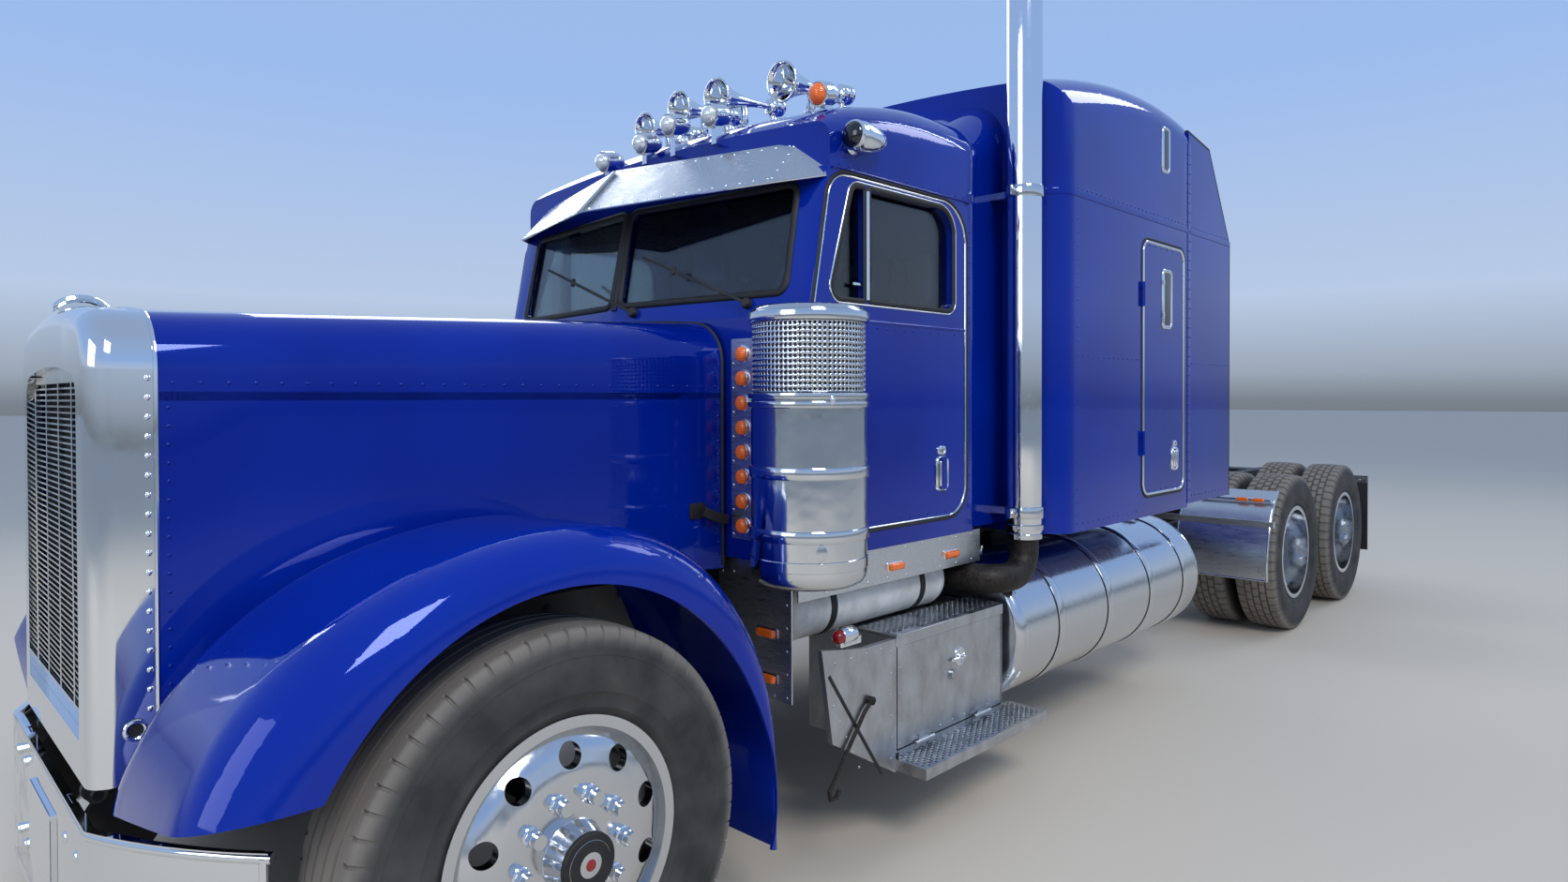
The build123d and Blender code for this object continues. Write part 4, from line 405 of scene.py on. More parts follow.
def arcThrough(start, middle, end, steps=12):
    # points of the circle through three flat points, from the first to the last
    (ax, ay), (bx, by), (cx, cy) = start, middle, end
    d = 2 * (ax * (by - cy) + bx * (cy - ay) + cx * (ay - by))
    ux = ((ax**2 + ay**2) * (by - cy) + (bx**2 + by**2) * (cy - ay) + (cx**2 + cy**2) * (ay - by)) / d
    uy = ((ax**2 + ay**2) * (cx - bx) + (bx**2 + by**2) * (ax - cx) + (cx**2 + cy**2) * (bx - ax)) / d
    first, halfway, last = (np.arctan2(y - uy, x - ux) for x, y in ((ax, ay), (bx, by), (cx, cy)))
    span = (last - first) % (2 * pi)
    if (halfway - first) % (2 * pi) > span:
        span -= 2 * pi
    angle = first + np.linspace(0, span, steps)
    radius = hypot(ax - ux, ay - uy)
    return np.stack([ux + radius * np.cos(angle), uy + radius * np.sin(angle)], axis=-1)


def ringStack(rings):
    # rings of equal length, bottom to top; the first and last are closed by one face each
    rings = [np.asarray(r, float) for r in rings]
    return capped((np.vstack(rings), cornersToQuads(len(rings), len(rings[0]), False, True)), len(rings[0]))


def plateLoops(outline, levels, toWorld):
    # the outline shrunk or grown by each level's amount at each level's height, closed at both ends
    outline = np.asarray(outline, float)
    size = np.abs(outline).max(0)
    return ringStack([toWorld(outline * (1 + grow / size), height) for grow, height in levels])


def facingFront(x, y, z):
    # flat outlines stood up across the truck at x, z, heights going forwards from y
    return lambda flat, height: np.column_stack([x + flat[:, 0], np.full(len(flat), y - height), z + flat[:, 1]])


def facingSide(x, y, z):
    # flat outlines (y, z) on the truck's left side, heights going outwards from x
    return lambda flat, height: np.column_stack([np.full(len(flat), x + height), y + flat[:, 0], z + flat[:, 1]])


def facingUp(x, y, z):
    return lambda flat, lift: np.column_stack([x + flat[:, 0], y + flat[:, 1], np.full(len(flat), z + lift)])


def hexShape(size, levels):
    # twelve points a ring; levels are (radius, height, corner) as shares of half the width across flats,
    # and every other point stands out by the corner factor, which makes a hexagon
    rings = []
    for radius, height, corner in levels:
        flat = ring(size * radius)
        flat[::2] *= corner
        rings.append(np.column_stack([flat, np.full(12, size * height)]))
    return ringStack(rings)


hexCorner = 1.155
nutLevels = [(1.32, 0, 1), (1.32, 0.22, 1), (1.12, 0.42, 1), (1, 0.43, hexCorner), (1, 1.45, hexCorner),
             (0.9, 1.62, 1), (0.72, 2.0, 1), (0.3, 2.25, 1)]
boltLevels = [(1.6, 0, 1), (1.6, 0.2, 1), (1.02, 0.26, 1), (1, 0.27, hexCorner), (1, 0.85, hexCorner),
              (0.8, 1.02, 1)]


def boltShape(size):
    return hexShape(size, boltLevels)


def rivetShape(radius, height):
    # an eight-sided dome in four rings
    return ringStack([np.column_stack([ring(radius * share, 8), np.full(8, height * rise)])
                      for share, rise in ((1, 0), (0.88, 0.5), (0.5, 0.92), (0.15, 1))])


smallRivet = rivetShape(0.0050, 0.0026)
sheetRivet = rivetShape(0.0055, 0.0026)
doorRivet = rivetShape(0.0050, 0.0024)

# nodes that pieces further down stand for, and so stay undressed
rebuilt = {"air_cleaners", "exhaust_stack", "air_horns", "roof_lamps", "spot_lamps", "fuel_tanks", "marker_lamps",
           "seats"}
# tread plate keeps its mill finish, trim sheet is brushed
specialFinish = dict.fromkeys(("step_boxes", "toolbox_door_left", "toolbox_door_right"), millAluminium)
specialFinish.update(dict.fromkeys(("sun_visor", "stainless_panels", "quarter_fenders"), brushedStainless))
for node in frame["nodes"]:
    if node not in rebuilt and "_tyre" not in node:
        dressNode(node, specialFinish.get(node))
print("CAD nodes dressed")


# Tyres and wheels

tyre = {
    "halfTread": 0.112, "radius": 0.547, "crownDrop": 0.0055, "grooves": (-0.066, -0.023, 0.023, 0.066),
    "grooveWidth": 0.012, "grooveDepth": 0.013,
    # columns: across, radius, how far a side cut reaches in, outward direction across and along the radius
    "sidewall": [(x, r, 0, 1, 0) for x, r in (
        (0.104, 0.312), (0.1095, 0.3265), (0.1135, 0.334), (0.121, 0.340), (0.1255, 0.347), (0.1245, 0.354),
        (0.1285, 0.366), (0.1345, 0.385), (0.1355, 0.386), (0.1385, 0.405), (0.1405, 0.425), (0.142, 0.440),
        (0.1412, 0.455), (0.1392, 0.474), (0.1402, 0.4755), (0.1375, 0.492))] + [
        (0.1335, 0.508, 0.15, 1, 0.1), (0.1275, 0.5215, 0.6, 0.95, 0.3), (0.1215, 0.5335, 1, 0.8, 0.6),
        (0.1165, 0.5395, 1, 0.5, 0.85)],
}


def tyreSurface(pitches, shares, cutDepth, blocks):
    # radius(across, angle): a crowned tread less its four round grooves and the cuts across each rib,
    # carried on down the shoulders into a ringed sidewall, and closed under the beads
    half, drop, width = tyre["halfTread"], tyre["crownDrop"], tyre["grooveWidth"]
    section = [(-x, r, cut, -nx, nr, 0.0) for x, r, cut, nx, nr in tyre["sidewall"]]
    edges = [-half] + [g + s * width / 2 for g in tyre["grooves"] for s in (-1, 1)] + [half]
    bottom = tyre["radius"] - drop - tyre["grooveDepth"]
    for rib in range(5):
        low, high = edges[2 * rib], edges[2 * rib + 1]
        turn = 0.5 * (rib % 2) if blocks else 0.0
        inner = [(low, 1 if blocks else 0), (high, 1 if blocks else 0)]
        if not blocks and rib == 0:
            inner = [(low, 1), (low + 0.014, 1), (low + 0.015, 0), (high, 0)]
        if not blocks and rib == 4:
            inner = [(low, 0), (high - 0.015, 0), (high - 0.014, 1), (high, 1)]
        for x, cut in inner:
            section.append((x, tyre["radius"] - drop * (x / half) ** 2, cut, 0, 1, turn))
        if rib < 4:
            after = 0.5 * ((rib + 1) % 2) if blocks else 0.0
            section.append((high + 0.002, bottom, 0, 0, 1, turn))
            section.append((edges[2 * rib + 2] - 0.002, bottom, 0, 0, 1, after))
    section += [(x, r, cut, nx, nr, 0.0) for x, r, cut, nx, nr in tyre["sidewall"][::-1]]
    across, radius, cut, nx, nr, turn = np.array(section).T
    share = np.array([shares[j % 4] + j // 4 for j in range(4 * pitches)])
    depth = np.array([0, 1, 1, 0])[np.arange(4 * pitches) % 4]
    angle = 2 * pi / pitches * (share[:, None] + turn[None, :])
    taken = cutDepth * depth[:, None] * cut[None, :]
    x = across[None, :] - taken * nx[None, :]
    r = radius[None, :] - taken * nr[None, :]
    points = np.stack([x, r * np.cos(angle), r * np.sin(angle)], axis=-1).reshape(-1, 3)
    return points, cornersToQuads(4 * pitches, len(section), True, True)


def putTyre(node, shape, axleY):
    # the tread's dust is one value a point: 1 on the part that meets the road, 0 on the sidewall
    piece = putPiece(node + "_tread", shape, "tyre_rubber", bodyOf[node], sharpAngle=35)
    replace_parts(piece, node)
    place = np.empty(len(piece.data.vertices) * 3)
    piece.data.vertices.foreach_get("co", place)
    radius = np.hypot(place[1::3] - axleY, place[2::3] - wheels["height"])
    dust = piece.data.attributes.new("treadDust", "FLOAT", "POINT")
    dust.data.foreach_set("value", np.clip((radius - 0.50) / 0.03, 0, 1))


def turnedAboutX(outline, centre, side, steps):
    # outline of (outward distance, radius) carried round the wheel's axis
    points, faces = turnOutline([(r, o) for o, r in outline], steps)
    return np.column_stack([side * points[:, 2], points[:, 0], points[:, 1]]) + np.asarray(centre), faces


wheels = {"height": 0.547, "frontX": 1.058, "driveX": 0.885, "twinSpread": 0.1675, "boltCircle": 0.1429,
          "axles": ((2.415, "front"), (3.735, "rear"))}
steerTyre = tyreSurface(64, (0, 0.05, 0.13, 0.18), 0.006, False)
driveTyre = tyreSurface(52, (0, 0.06, 0.26, 0.32), 0.010, True)
wheelNut = hexShape(0.018, nutLevels)
hubCap = [(0.196, 0.0735), (0.203, 0.0735), (0.2075, 0.070), (0.2085, 0.056), (0.2125, 0.054), (0.2125, 0.03),
          (0.2095, 0.028), (0.2095, 0.014)]
hubPlug = [(0.209, 0.0145), (0.2135, 0.0135), (0.2145, 0.011), (0.2145, 0.0002)]
for side, sideName in sideNames:
    outward = (side, 0, 0)
    centre = np.array([side * wheels["frontX"], frontAxleY, wheels["height"]])
    putTyre("front_tyre_" + sideName, (steerTyre[0] * [side, 1, 1] + centre, steerTyre[1]), frontAxleY)
    body = bodyOf["front_rim_" + sideName]
    places = circlePlaces(side * (wheels["frontX"] + 0.138), frontAxleY, wheels["height"], wheels["boltCircle"], 10)
    putPiece("front_wheel_nuts_" + sideName, repeated(wheelNut, places, outward), "chrome_plate", body)
    # oil cap: black ring with a red plug, over the polished hub end
    putPiece("front_hub_cap_" + sideName, turnedAboutX(hubCap, centre, side, 48), "flap_rubber", body)
    putPiece("front_hub_plug_" + sideName, turnedAboutX(hubPlug, centre, side, 24), "amber_lens", body, redAcrylic)
    for axleY, axleName in wheels["axles"]:
        wheelName = axleName + "_" + sideName
        twins = [(driveTyre[0] * [k, 1, 1] + [side * (wheels["driveX"] + k * wheels["twinSpread"]), axleY,
                                              wheels["height"]], driveTyre[1]) for k in (-1, 1)]
        putTyre("drive_tyres_" + wheelName, joined(twins), axleY)
        body = bodyOf["drive_rims_" + wheelName]
        # wheel nuts, and eight bolts of the axle shaft's flange round the hub end
        for kind, shape, out, radius, count in (("wheel_nuts", wheelNut, 0.0245, wheels["boltCircle"], 10),
                                                ("flange_bolts", boltShape(0.0095), 0.1715, 0.084, 8)):
            places = circlePlaces(side * (wheels["driveX"] + out), axleY, wheels["height"], radius, count)
            putPiece("drive_" + kind + "_" + wheelName, repeated(shape, places, outward), "chrome_plate", body)
print("tyres and wheel nuts made")


# Bumper, grille shell and hood

hoodSpan = {"front": -4.274, "rear": -2.632, "shellFront": -4.415}
hoodFrontY, hoodRearY, shellFrontY = hoodSpan["front"], hoodSpan["rear"], hoodSpan["shellFront"]
forwards = (0, -1, 0)
bumper = {"faceY": -4.435, "top": 0.690, "bottom": 0.250, "bendX": 0.569, "tipX": 0.974, "tipBack": 0.250,
          "bead": 0.013, "plate": (0.32, 0.17), "plateZ": 0.505}
faceY, plateZ = bumper["faceY"], bumper["plateZ"]
bumperArc = arcThrough((bumper["bendX"], faceY),
                       ((bumper["bendX"] + bumper["tipX"]) / 2 + 0.025, faceY + bumper["tipBack"] * 0.47),
                       (bumper["tipX"], faceY + bumper["tipBack"]), 18)
bumperPlan = np.vstack([bumperArc[::-1] * [-1, 1], bumperArc])
beads = []
for z in (bumper["top"] - bumper["bead"], bumper["bottom"] + bumper["bead"]):
    inner = bumperPlan.copy()
    inner[:, 1] += bumper["bead"] - 0.003
    path = np.column_stack([inner, np.full(len(inner), z)])
    beads.append(alongPath(path, ring(bumper["bead"], 10), zAxis))
for side in (-1, 1):
    x, y = side * (bumper["tipX"] - 0.010), faceY + bumper["tipBack"] - 0.004
    path = [(x, y, z) for z in np.linspace(bumper["bottom"] + 0.01, bumper["top"] - 0.01, 9)]
    beads.append(alongPath(path, ring(0.011, 10), yAxis))
putPiece("bumper_rolled_edges", joined(beads), "chrome_plate")

# blank plate on its holder, with four screws, and the bumper's own domed bolts
plateRim = facingFront(0, faceY + 0.0005, plateZ)(roundedBox(0.334, 0.184, 0.012), 0.008)
putPiece("bumper_plate_rim", alongPath(plateRim, domeSection(0.004, 0.0022), forwards, closed=True), "frame_black")
putPiece("bumper_blank_plate", plateLoops(
    roundedBox(*bumper["plate"], 0.012), [(0, 0.008), (0, 0.0093), (-0.004, 0.0097), (-0.008, 0.0090)],
    facingFront(0, faceY + 0.0003, plateZ)), "tank_white")
screws = [(sx * 0.135, faceY - 0.0045, plateZ + sz * 0.066) for sx in (-1, 1) for sz in (-1, 1)]
putPiece("bumper_plate_screws", repeated(boltShape(0.0055), screws, forwards), "chrome_plate")
bolts = [(sx * x, faceY + 0.0005, z) for sx in (-1, 1) for x in (0.333, 0.47) for z in (0.36, 0.60)]
putPiece("bumper_bolts", repeated(rivetShape(0.017, 0.008), bolts, forwards), "chrome_plate")

hoodFlare = 0.192 / (hoodRearY - hoodFrontY)
hoodNormal = np.array([1, -hoodFlare, 0]) / hypot(1, hoodFlare)


def hoodHalfWidth(y):
    return 0.498 + (np.asarray(y) - hoodFrontY) / (hoodRearY - hoodFrontY) * 0.192


def hoodPlace(y, z):
    return hoodHalfWidth(y) + 0.0005, y, z


# bolts down the rear edge of the shell, rivets along the hood's seams
shellBolts = [(0.498, hoodFrontY - 0.020, z) for z in np.linspace(0.775, 1.70, 21)]
putPair("shell_edge_bolts", repeated(rivetShape(0.0075, 0.0045), shellBolts, xAxis), "chrome_plate", "hood")
hoodRivets = [hoodPlace(y, 1.690) for y in np.linspace(hoodFrontY + 0.03, hoodRearY - 0.03, 28)]
hoodRivets += [hoodPlace(hoodRearY - 0.02, z) for z in np.linspace(1.10, 1.63, 13)]
hoodRivets += [hoodPlace(hoodFrontY + 0.02, z) for z in np.linspace(0.83, 1.63, 19)]
putPair("hood_side_rivets", repeated(smallRivet, hoodRivets, hoodNormal), "cobalt_paint", "hood")

# a pressed seam strip along the hood side
stripLoop = np.array([(0.0, -0.011), (0.0, 0.011), (-0.0022, 0.0085), (-0.003, 0.0), (-0.0022, -0.0085)])
stripPath = [(hoodHalfWidth(y), y, 1.657) for y in (hoodFrontY + 0.004, hoodRearY - 0.004)]
putPair("hood_seam_strips", alongPath(stripPath, stripLoop, zAxis), "cobalt_paint", "hood")


def archLine(halfWidth, bottom, top, y):
    # the hood's section: up one side, over the shoulder arc and the shallow crown, down the other
    radius, crown = 0.15, 0.025
    shoulder = top - crown
    knee = (halfWidth - radius * (1 - cos(radians(45))), shoulder - radius * (1 - sin(radians(45))))
    right = arcThrough((halfWidth, shoulder - radius), knee, (halfWidth - radius, shoulder), 10)
    over = arcThrough((halfWidth - radius, shoulder), (0, top), (radius - halfWidth, shoulder), 20)
    side = np.column_stack([np.full(6, halfWidth), np.linspace(bottom, shoulder - radius, 6)])
    flat = np.vstack([side[:-1], right[:-1], over, right[::-1][1:] * [-1, 1], side[::-1][1:] * [-1, 1]])
    return np.column_stack([flat[:, 0], np.full(len(flat), y), flat[:, 1]])


# bright bead where the hood meets the shell, and the rubber lip along the hood's rear edge
jointLine = archLine(0.4975, 0.80, 1.8945, hoodFrontY - 0.004)
putPiece("shell_joint_bead", alongPath(jointLine, ring(0.0055, 8), forwards), "chrome_plate", "hood")
lipLine = archLine(0.690, 1.06, 1.945, hoodRearY - 0.002)
putPiece("hood_rear_lip", alongPath(lipLine, ring(0.006, 8), forwards), "flap_rubber", "hood")

# slim winged ornament on the shell's crown, its foot on the chrome
ornamentPath = arcThrough((shellFrontY + 0.135, 1.897), (shellFrontY + 0.075, 1.922),
                          (shellFrontY + 0.012, 1.893), 14)
widths = 0.003 + 0.010 * np.sin(np.linspace(0.15, pi - 0.3, 14))
finRings = [np.column_stack([w * np.array([0, 0.7, 1, 0.7, 0, -0.7, -1, -0.7]), np.full(8, y),
                             z + 0.012 * np.array([1, 0.75, 0, -0.6, -0.9, -0.6, 0, 0.75])])
            for (y, z), w in zip(ornamentPath, widths)]
putPiece("shell_ornament", ringStack(finRings), "chrome_plate", "hood")

# hole with a bright ring low on each side of the shell
holePlace = (0.498, shellFrontY + 0.09, 0.87)
holeRing = [(0.026, 0.004), (0.024, 0.007), (0.020, 0.008), (0.0165, 0.006), (0.016, 0.0), (0.016, -0.004)]
putPair("shell_hole_rings", turned(holeRing, 28, holePlace, xAxis), "chrome_plate", "hood")
putPair("shell_hole_shadows", turned([(0.0165, 0.0), (0.0165, 0.0012), (0.0002, 0.0012)], 28, holePlace, xAxis),
        "flap_rubber", "hood")

# rubber hood latches: a strap on its base between the hood side and the cowl
latch = {"y": -2.66, "z": 1.23}
strapPath = [(x, latch["y"] + dy, latch["z"] + dz) for x, dy, dz in (
    (0.705, -0.075, 0.03), (0.716, -0.04, 0.012), (0.720, -0.005, 0), (0.722, 0.02, -0.004))]
strap = alongPath(strapPath, roundedBox(0.012, 0.034, 0.005, 4), zAxis)
base = plateLoops(roundedBox(0.070, 0.055, 0.010), [(0, 0), (0, 0.005), (-0.004, 0.007)],
                  facingSide(0.676, latch["y"] - 0.08, latch["z"] + 0.03))
putPair("hood_latches", joined([strap, base]), "flap_rubber", "hood")
print("front end made")


# Air cleaners

cleaner = {"x": 1.140, "y": -2.675, "bottom": 1.065, "bandRadius": 0.178, "band": (0.603, 0.817), "columns": 74,
           "rows": 13}
cleanerAt = (cleaner["x"], cleaner["y"], cleaner["bottom"])
# columns: radius, height above the bottom
cleanerBody = [
    (0.0002, 0.0), (0.120, 0.0), (0.150, 0.004), (0.170, 0.014), (0.180, 0.030), (0.183, 0.046), (0.183, 0.060),
    (0.1865, 0.062), (0.1865, 0.092), (0.183, 0.094), (0.183, 0.148), (0.188, 0.150), (0.1895, 0.153),
    (0.1895, 0.181), (0.188, 0.184), (0.183, 0.186), (0.183, 0.338), (0.188, 0.340), (0.1895, 0.343),
    (0.1895, 0.371), (0.188, 0.374), (0.183, 0.376), (0.183, 0.553), (0.1905, 0.556), (0.1918, 0.564),
    (0.1905, 0.572), (0.186, 0.574), (0.186, 0.580), (0.1905, 0.582), (0.1918, 0.590), (0.1905, 0.598),
    (0.180, 0.601), (0.174, 0.602), (0.172, 0.603),
]
cleanerCap = [(0.172, 0.817), (0.176, 0.818), (0.190, 0.819), (0.1915, 0.823), (0.1915, 0.845), (0.189, 0.850),
              (0.181, 0.853), (0.178, 0.860), (0.166, 0.868), (0.140, 0.8715), (0.06, 0.8725), (0.0002, 0.8725)]


def perforatedBand(radius, low, high, columns, rows, hole):
    # each cell of the wrapped grid keeps a square frame round an eight-sided hole:
    # the point at angle a of cell (i, j) is the cell's centre plus its half size times cos a, sin a
    width, height = 2 * pi * radius / columns, (high - low) / rows
    corners = np.array([(1, 0), (1, 1), (0, 1), (-1, 1), (-1, 0), (-1, -1), (0, -1), (1, -1)]) / 2
    eighths = np.arange(8) * pi / 4
    opening = np.stack([np.cos(eighths), np.sin(eighths)], axis=-1) * hole / 2
    i, j = np.meshgrid(np.arange(columns), np.arange(rows), indexing="ij")
    centre = np.stack([(i.ravel() + 0.5) * width, low + (j.ravel() + 0.5) * height], axis=-1)
    flat = centre[:, None, :] + np.vstack([corners * [width, height], opening * min(width, height)])[None]
    angle = flat[..., 0] / radius
    points = np.stack([radius * np.cos(angle), radius * np.sin(angle), flat[..., 1]], axis=-1).reshape(-1, 3)
    k = np.arange(8)
    cell = np.stack([k, (k + 1) % 8, 8 + (k + 1) % 8, 8 + k], axis=-1)
    return points, (np.arange(len(centre))[:, None, None] * 16 + cell[None]).reshape(-1, 4)


def onCleaner(angle, radius, height):
    # a place on the cleaner's round wall and the way out of it
    out = np.array([cos(angle), sin(angle), 0])
    return np.array(cleanerAt) + out * radius + [0, 0, height], out


piece = putPair("air_cleaner_shells", joined([turned(rows, 72, cleanerAt) for rows in (cleanerBody, cleanerCap)]),
                "stainless_sheet", sharpAngle=35)
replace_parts(piece, "air_cleaners")
band = perforatedBand(cleaner["bandRadius"], *cleaner["band"], cleaner["columns"], cleaner["rows"], 0.72)
bandPiece = putPair("air_cleaner_mesh", setAt(band, cleanerAt), "stainless_sheet")
bandPiece.modifiers.new("wall", "SOLIDIFY").thickness = 0.0015
filterWall = [(0.1745, cleaner["band"][0] - 0.002), (0.1745, cleaner["band"][1] + 0.002)]
putPair("air_cleaner_filter", turned(filterWall, 48, cleanerAt), "flap_rubber")
# wall brackets from the strap bands to the cowl, catches on the double bead
brackets = [(1.02, -2.598, cleaner["bottom"] + height) for height in (0.167, 0.357)]
putPair("air_cleaner_brackets", repeated(boxShape((0.10, 0.13, 0.030), 0.004), brackets, zAxis),
        "polished_aluminium")
catches = []
for angle in (-2.3, -0.45):
    place, out = onCleaner(angle, 0.186, 0.577)
    catches += [block((0.016, 0.030, 0.012), 0.003, place, out), setAt(boltShape(0.006), place + out * 0.005, out)]
putPair("air_cleaner_catches", joined(catches), "chrome_plate")
# small bare oval plate low down
oval = ringStack([np.column_stack([ring(r, 24, 0.62), np.full(24, h)])
                  for r, h in ((0.027, -0.002), (0.027, 0.0012), (0.0245, 0.0020))])
putPair("air_cleaner_plates", setAt(oval, *onCleaner(-0.62, 0.1832, 0.122), pi / 2), "polished_aluminium")
print("air cleaners made")


# Exhaust stack on the left

stack = {"x": 1.080, "y": -1.230, "elbow": 0.105, "elbowZ": 0.890}
stackX, stackY = stack["x"], stack["y"]
pipeOutline = [(0.0002, 1.040), (0.060, 1.040), (0.064, 1.046), (0.076, 1.075), (0.076, 1.50), (0.076, 2.3),
               (0.076, 3.1), (0.076, 3.9495), (0.0725, 3.9495), (0.0725, 3.6), (0.0002, 3.598)]
clampBand = [(0.0765, -0.024), (0.0815, -0.024), (0.083, -0.020), (0.083, 0.020), (0.0815, 0.024), (0.0765, 0.024)]
clamps = []
for z in (1.155, 2.530):
    clamps += [turned(clampBand, 48, (stackX, stackY, z), closed=True),
               block((0.024, 0.030, 0.044), 0.003, (stackX - 0.015, stackY - 0.092, z)),
               setAt(boltShape(0.008), (stackX - 0.003, stackY - 0.094, z), xAxis),
               block((0.085, 0.052, 0.036), 0.004, (stackX - 0.116, stackY, z))]
for z, grip in ((1.092, 0.078), (1.052, 0.070)):
    narrow = [(grip, -0.010), (grip + 0.005, -0.010), (grip + 0.005, 0.010), (grip, 0.010)]
    clamps += [turned(narrow, 48, (stackX, stackY, z), closed=True),
               setAt(boltShape(0.007), (stackX + 0.02, stackY - grip - 0.012, z))]
# under the stack the pipe turns forwards, then inwards to the engine
elbow, lowZ, lowY = stack["elbow"], stack["elbowZ"], stackY - 0.245
corner = arcThrough((0, 0), (elbow * (1 - cos(pi / 4)), elbow * sin(pi / 4)), (elbow, elbow), 12)
elbowPath = [(stackX, stackY, z) for z in (1.046, 1.02)]
elbowPath += [(stackX, stackY - a, lowZ + elbow - b) for a, b in corner]
elbowPath += [(stackX - a, lowY + elbow - b, lowZ) for a, b in corner]
elbowPath += [(x, lowY, lowZ) for x in (0.90, 0.75, 0.60, 0.524)]
piece = putPiece("stack_pipe", turned(pipeOutline, 64, (stackX, stackY, 0)), "chrome_plate")
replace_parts(piece, "exhaust_stack")
putPiece("stack_clamps", joined(clamps), "stainless_sheet")
putPiece("stack_elbow", alongPath(elbowPath, ring(0.060, 24), (0.35, 0.5, 0.8)), "cast_iron")
print("stack made")


# Horns, bullet lamps and spot lamps on the cab's roof

# columns: y from the front axle, height of the crown
roofLine = np.array([(1.185, 2.665), (1.260, 2.721), (1.420, 2.782), (1.600, 2.827), (1.900, 2.860),
                     (2.130, 2.866)])


def roofPost(x, y, top, size):
    # a bevelled post from just under the roof's skin up to the given height, with its base plate;
    # the roof's height at y falls towards the side
    roof = np.interp(y - frontAxleY, roofLine[:, 0], roofLine[:, 1]) - 0.040 * (x / 0.80) ** 2
    bottom = roof - 0.012
    return [block((size[0], size[1], top - bottom), 0.003, (x, y, (top + bottom) / 2)),
            block((size[0] * 1.9, size[1] * 1.5, 0.008), 0.002, (x, y, bottom + 0.014))]


# columns: x, z of the mouth, length, mouth radius
hornTable = [(-0.161, 2.835, 0.330, 0.070), (0.071, 2.874, 0.350, 0.072), (0.308, 2.867, 0.380, 0.076),
             (0.677, 2.839, 0.400, 0.078)]
hornTilt = np.array([0, 1, 0.1]) / hypot(1, 0.1)


def hornOutline(length, mouth):
    # radius along the trumpet: mouth * (1 - t)^2.6 widened from a narrow throat, then the sounder's drum
    t = np.linspace(0, 1, 18)
    bell = np.column_stack([0.013 + (mouth - 0.015) * (1 - t) ** 2.6, t * (length - 0.075)])
    inside = np.column_stack([0.010 + (mouth - 0.018) * (1 - t[:10]) ** 2.6, t[:10] * (length - 0.075) + 0.001])
    rim = [(mouth - 0.004, -0.0005), (mouth - 0.001, 0.001), (mouth, 0.004), (mouth - 0.002, 0.007)]
    drum = [(r, length - back) for r, back in (
        (0.016, 0.072), (0.034, 0.070), (0.038, 0.064), (0.038, 0.040), (0.036, 0.038), (0.036, 0.030),
        (0.038, 0.028), (0.038, 0.006), (0.033, 0), (0.0002, 0))]
    return np.vstack([[(0.0002, inside[-1][1] + 0.01)], inside[::-1], rim, bell[1:], drum])


horns = []
for x, z, length, mouth in hornTable:
    place = np.array([x, -2.320, z])
    horns.append(setAt(turnOutline(hornOutline(length, mouth), 40), place, hornTilt))
    for along, radius in ((length - 0.045, 0.030), (length * 0.42, 0.018)):
        foot = place + hornTilt * along
        horns += roofPost(x, foot[1], foot[2] - radius, (0.022, 0.032))
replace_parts(putPiece("horn_trumpets", joined(horns), "chrome_plate", sharpAngle=50), "air_horns")

# places of the bullet lamps' rims, of which the last is amber, their tilt and the height their feet start from
bullet = {"places": [(-0.286, -2.450, 2.686), (-0.018, -2.450, 2.716), (0.169, -2.450, 2.755),
                     (0.420, -2.450, 2.740), (0.862, -2.318, 2.752)], "tilt": 0.2, "roofTop": 2.630}
bulletPlaces, roofTop = bullet["places"], bullet["roofTop"]
bulletTilt = np.array([0, 1, bullet["tilt"]]) / hypot(1, bullet["tilt"])
bulletShell = [(0.040, -0.004), (0.0455, -0.003), (0.047, 0.002), (0.0455, 0.008), (0.0455, 0.040), (0.0435, 0.060),
               (0.0375, 0.079), (0.028, 0.095), (0.015, 0.107), (0.0002, 0.111)]
bulletLens = [(0.0002, -0.031), (0.013, -0.0295), (0.025, -0.024), (0.034, -0.014), (0.040, 0.0), (0.040, 0.004)]
shells = []
for place in bulletPlaces:
    x, y, z = place
    shells.append(turned(bulletShell, 32, place, bulletTilt))
    if place is bulletPlaces[-1]:
        shells += roofPost(x, y + 0.045, z - 0.030, (0.030, 0.044))
    else:
        shells.append(block((0.028, 0.075, z - 0.030 - roofTop), 0.003, (x, y + 0.055, (z - 0.030 + roofTop) / 2)))
lenses = [turned(bulletLens, 28, place, bulletTilt) for place in bulletPlaces]
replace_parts(putPiece("roof_lamp_shells", joined(shells), "chrome_plate"), "roof_lamps")
putPiece("roof_lamp_amber_lens", lenses[-1], "amber_lens")
putPiece("roof_lamp_clear_lenses", joined(lenses[:-1]), "window_glass", material=clearAcrylic)

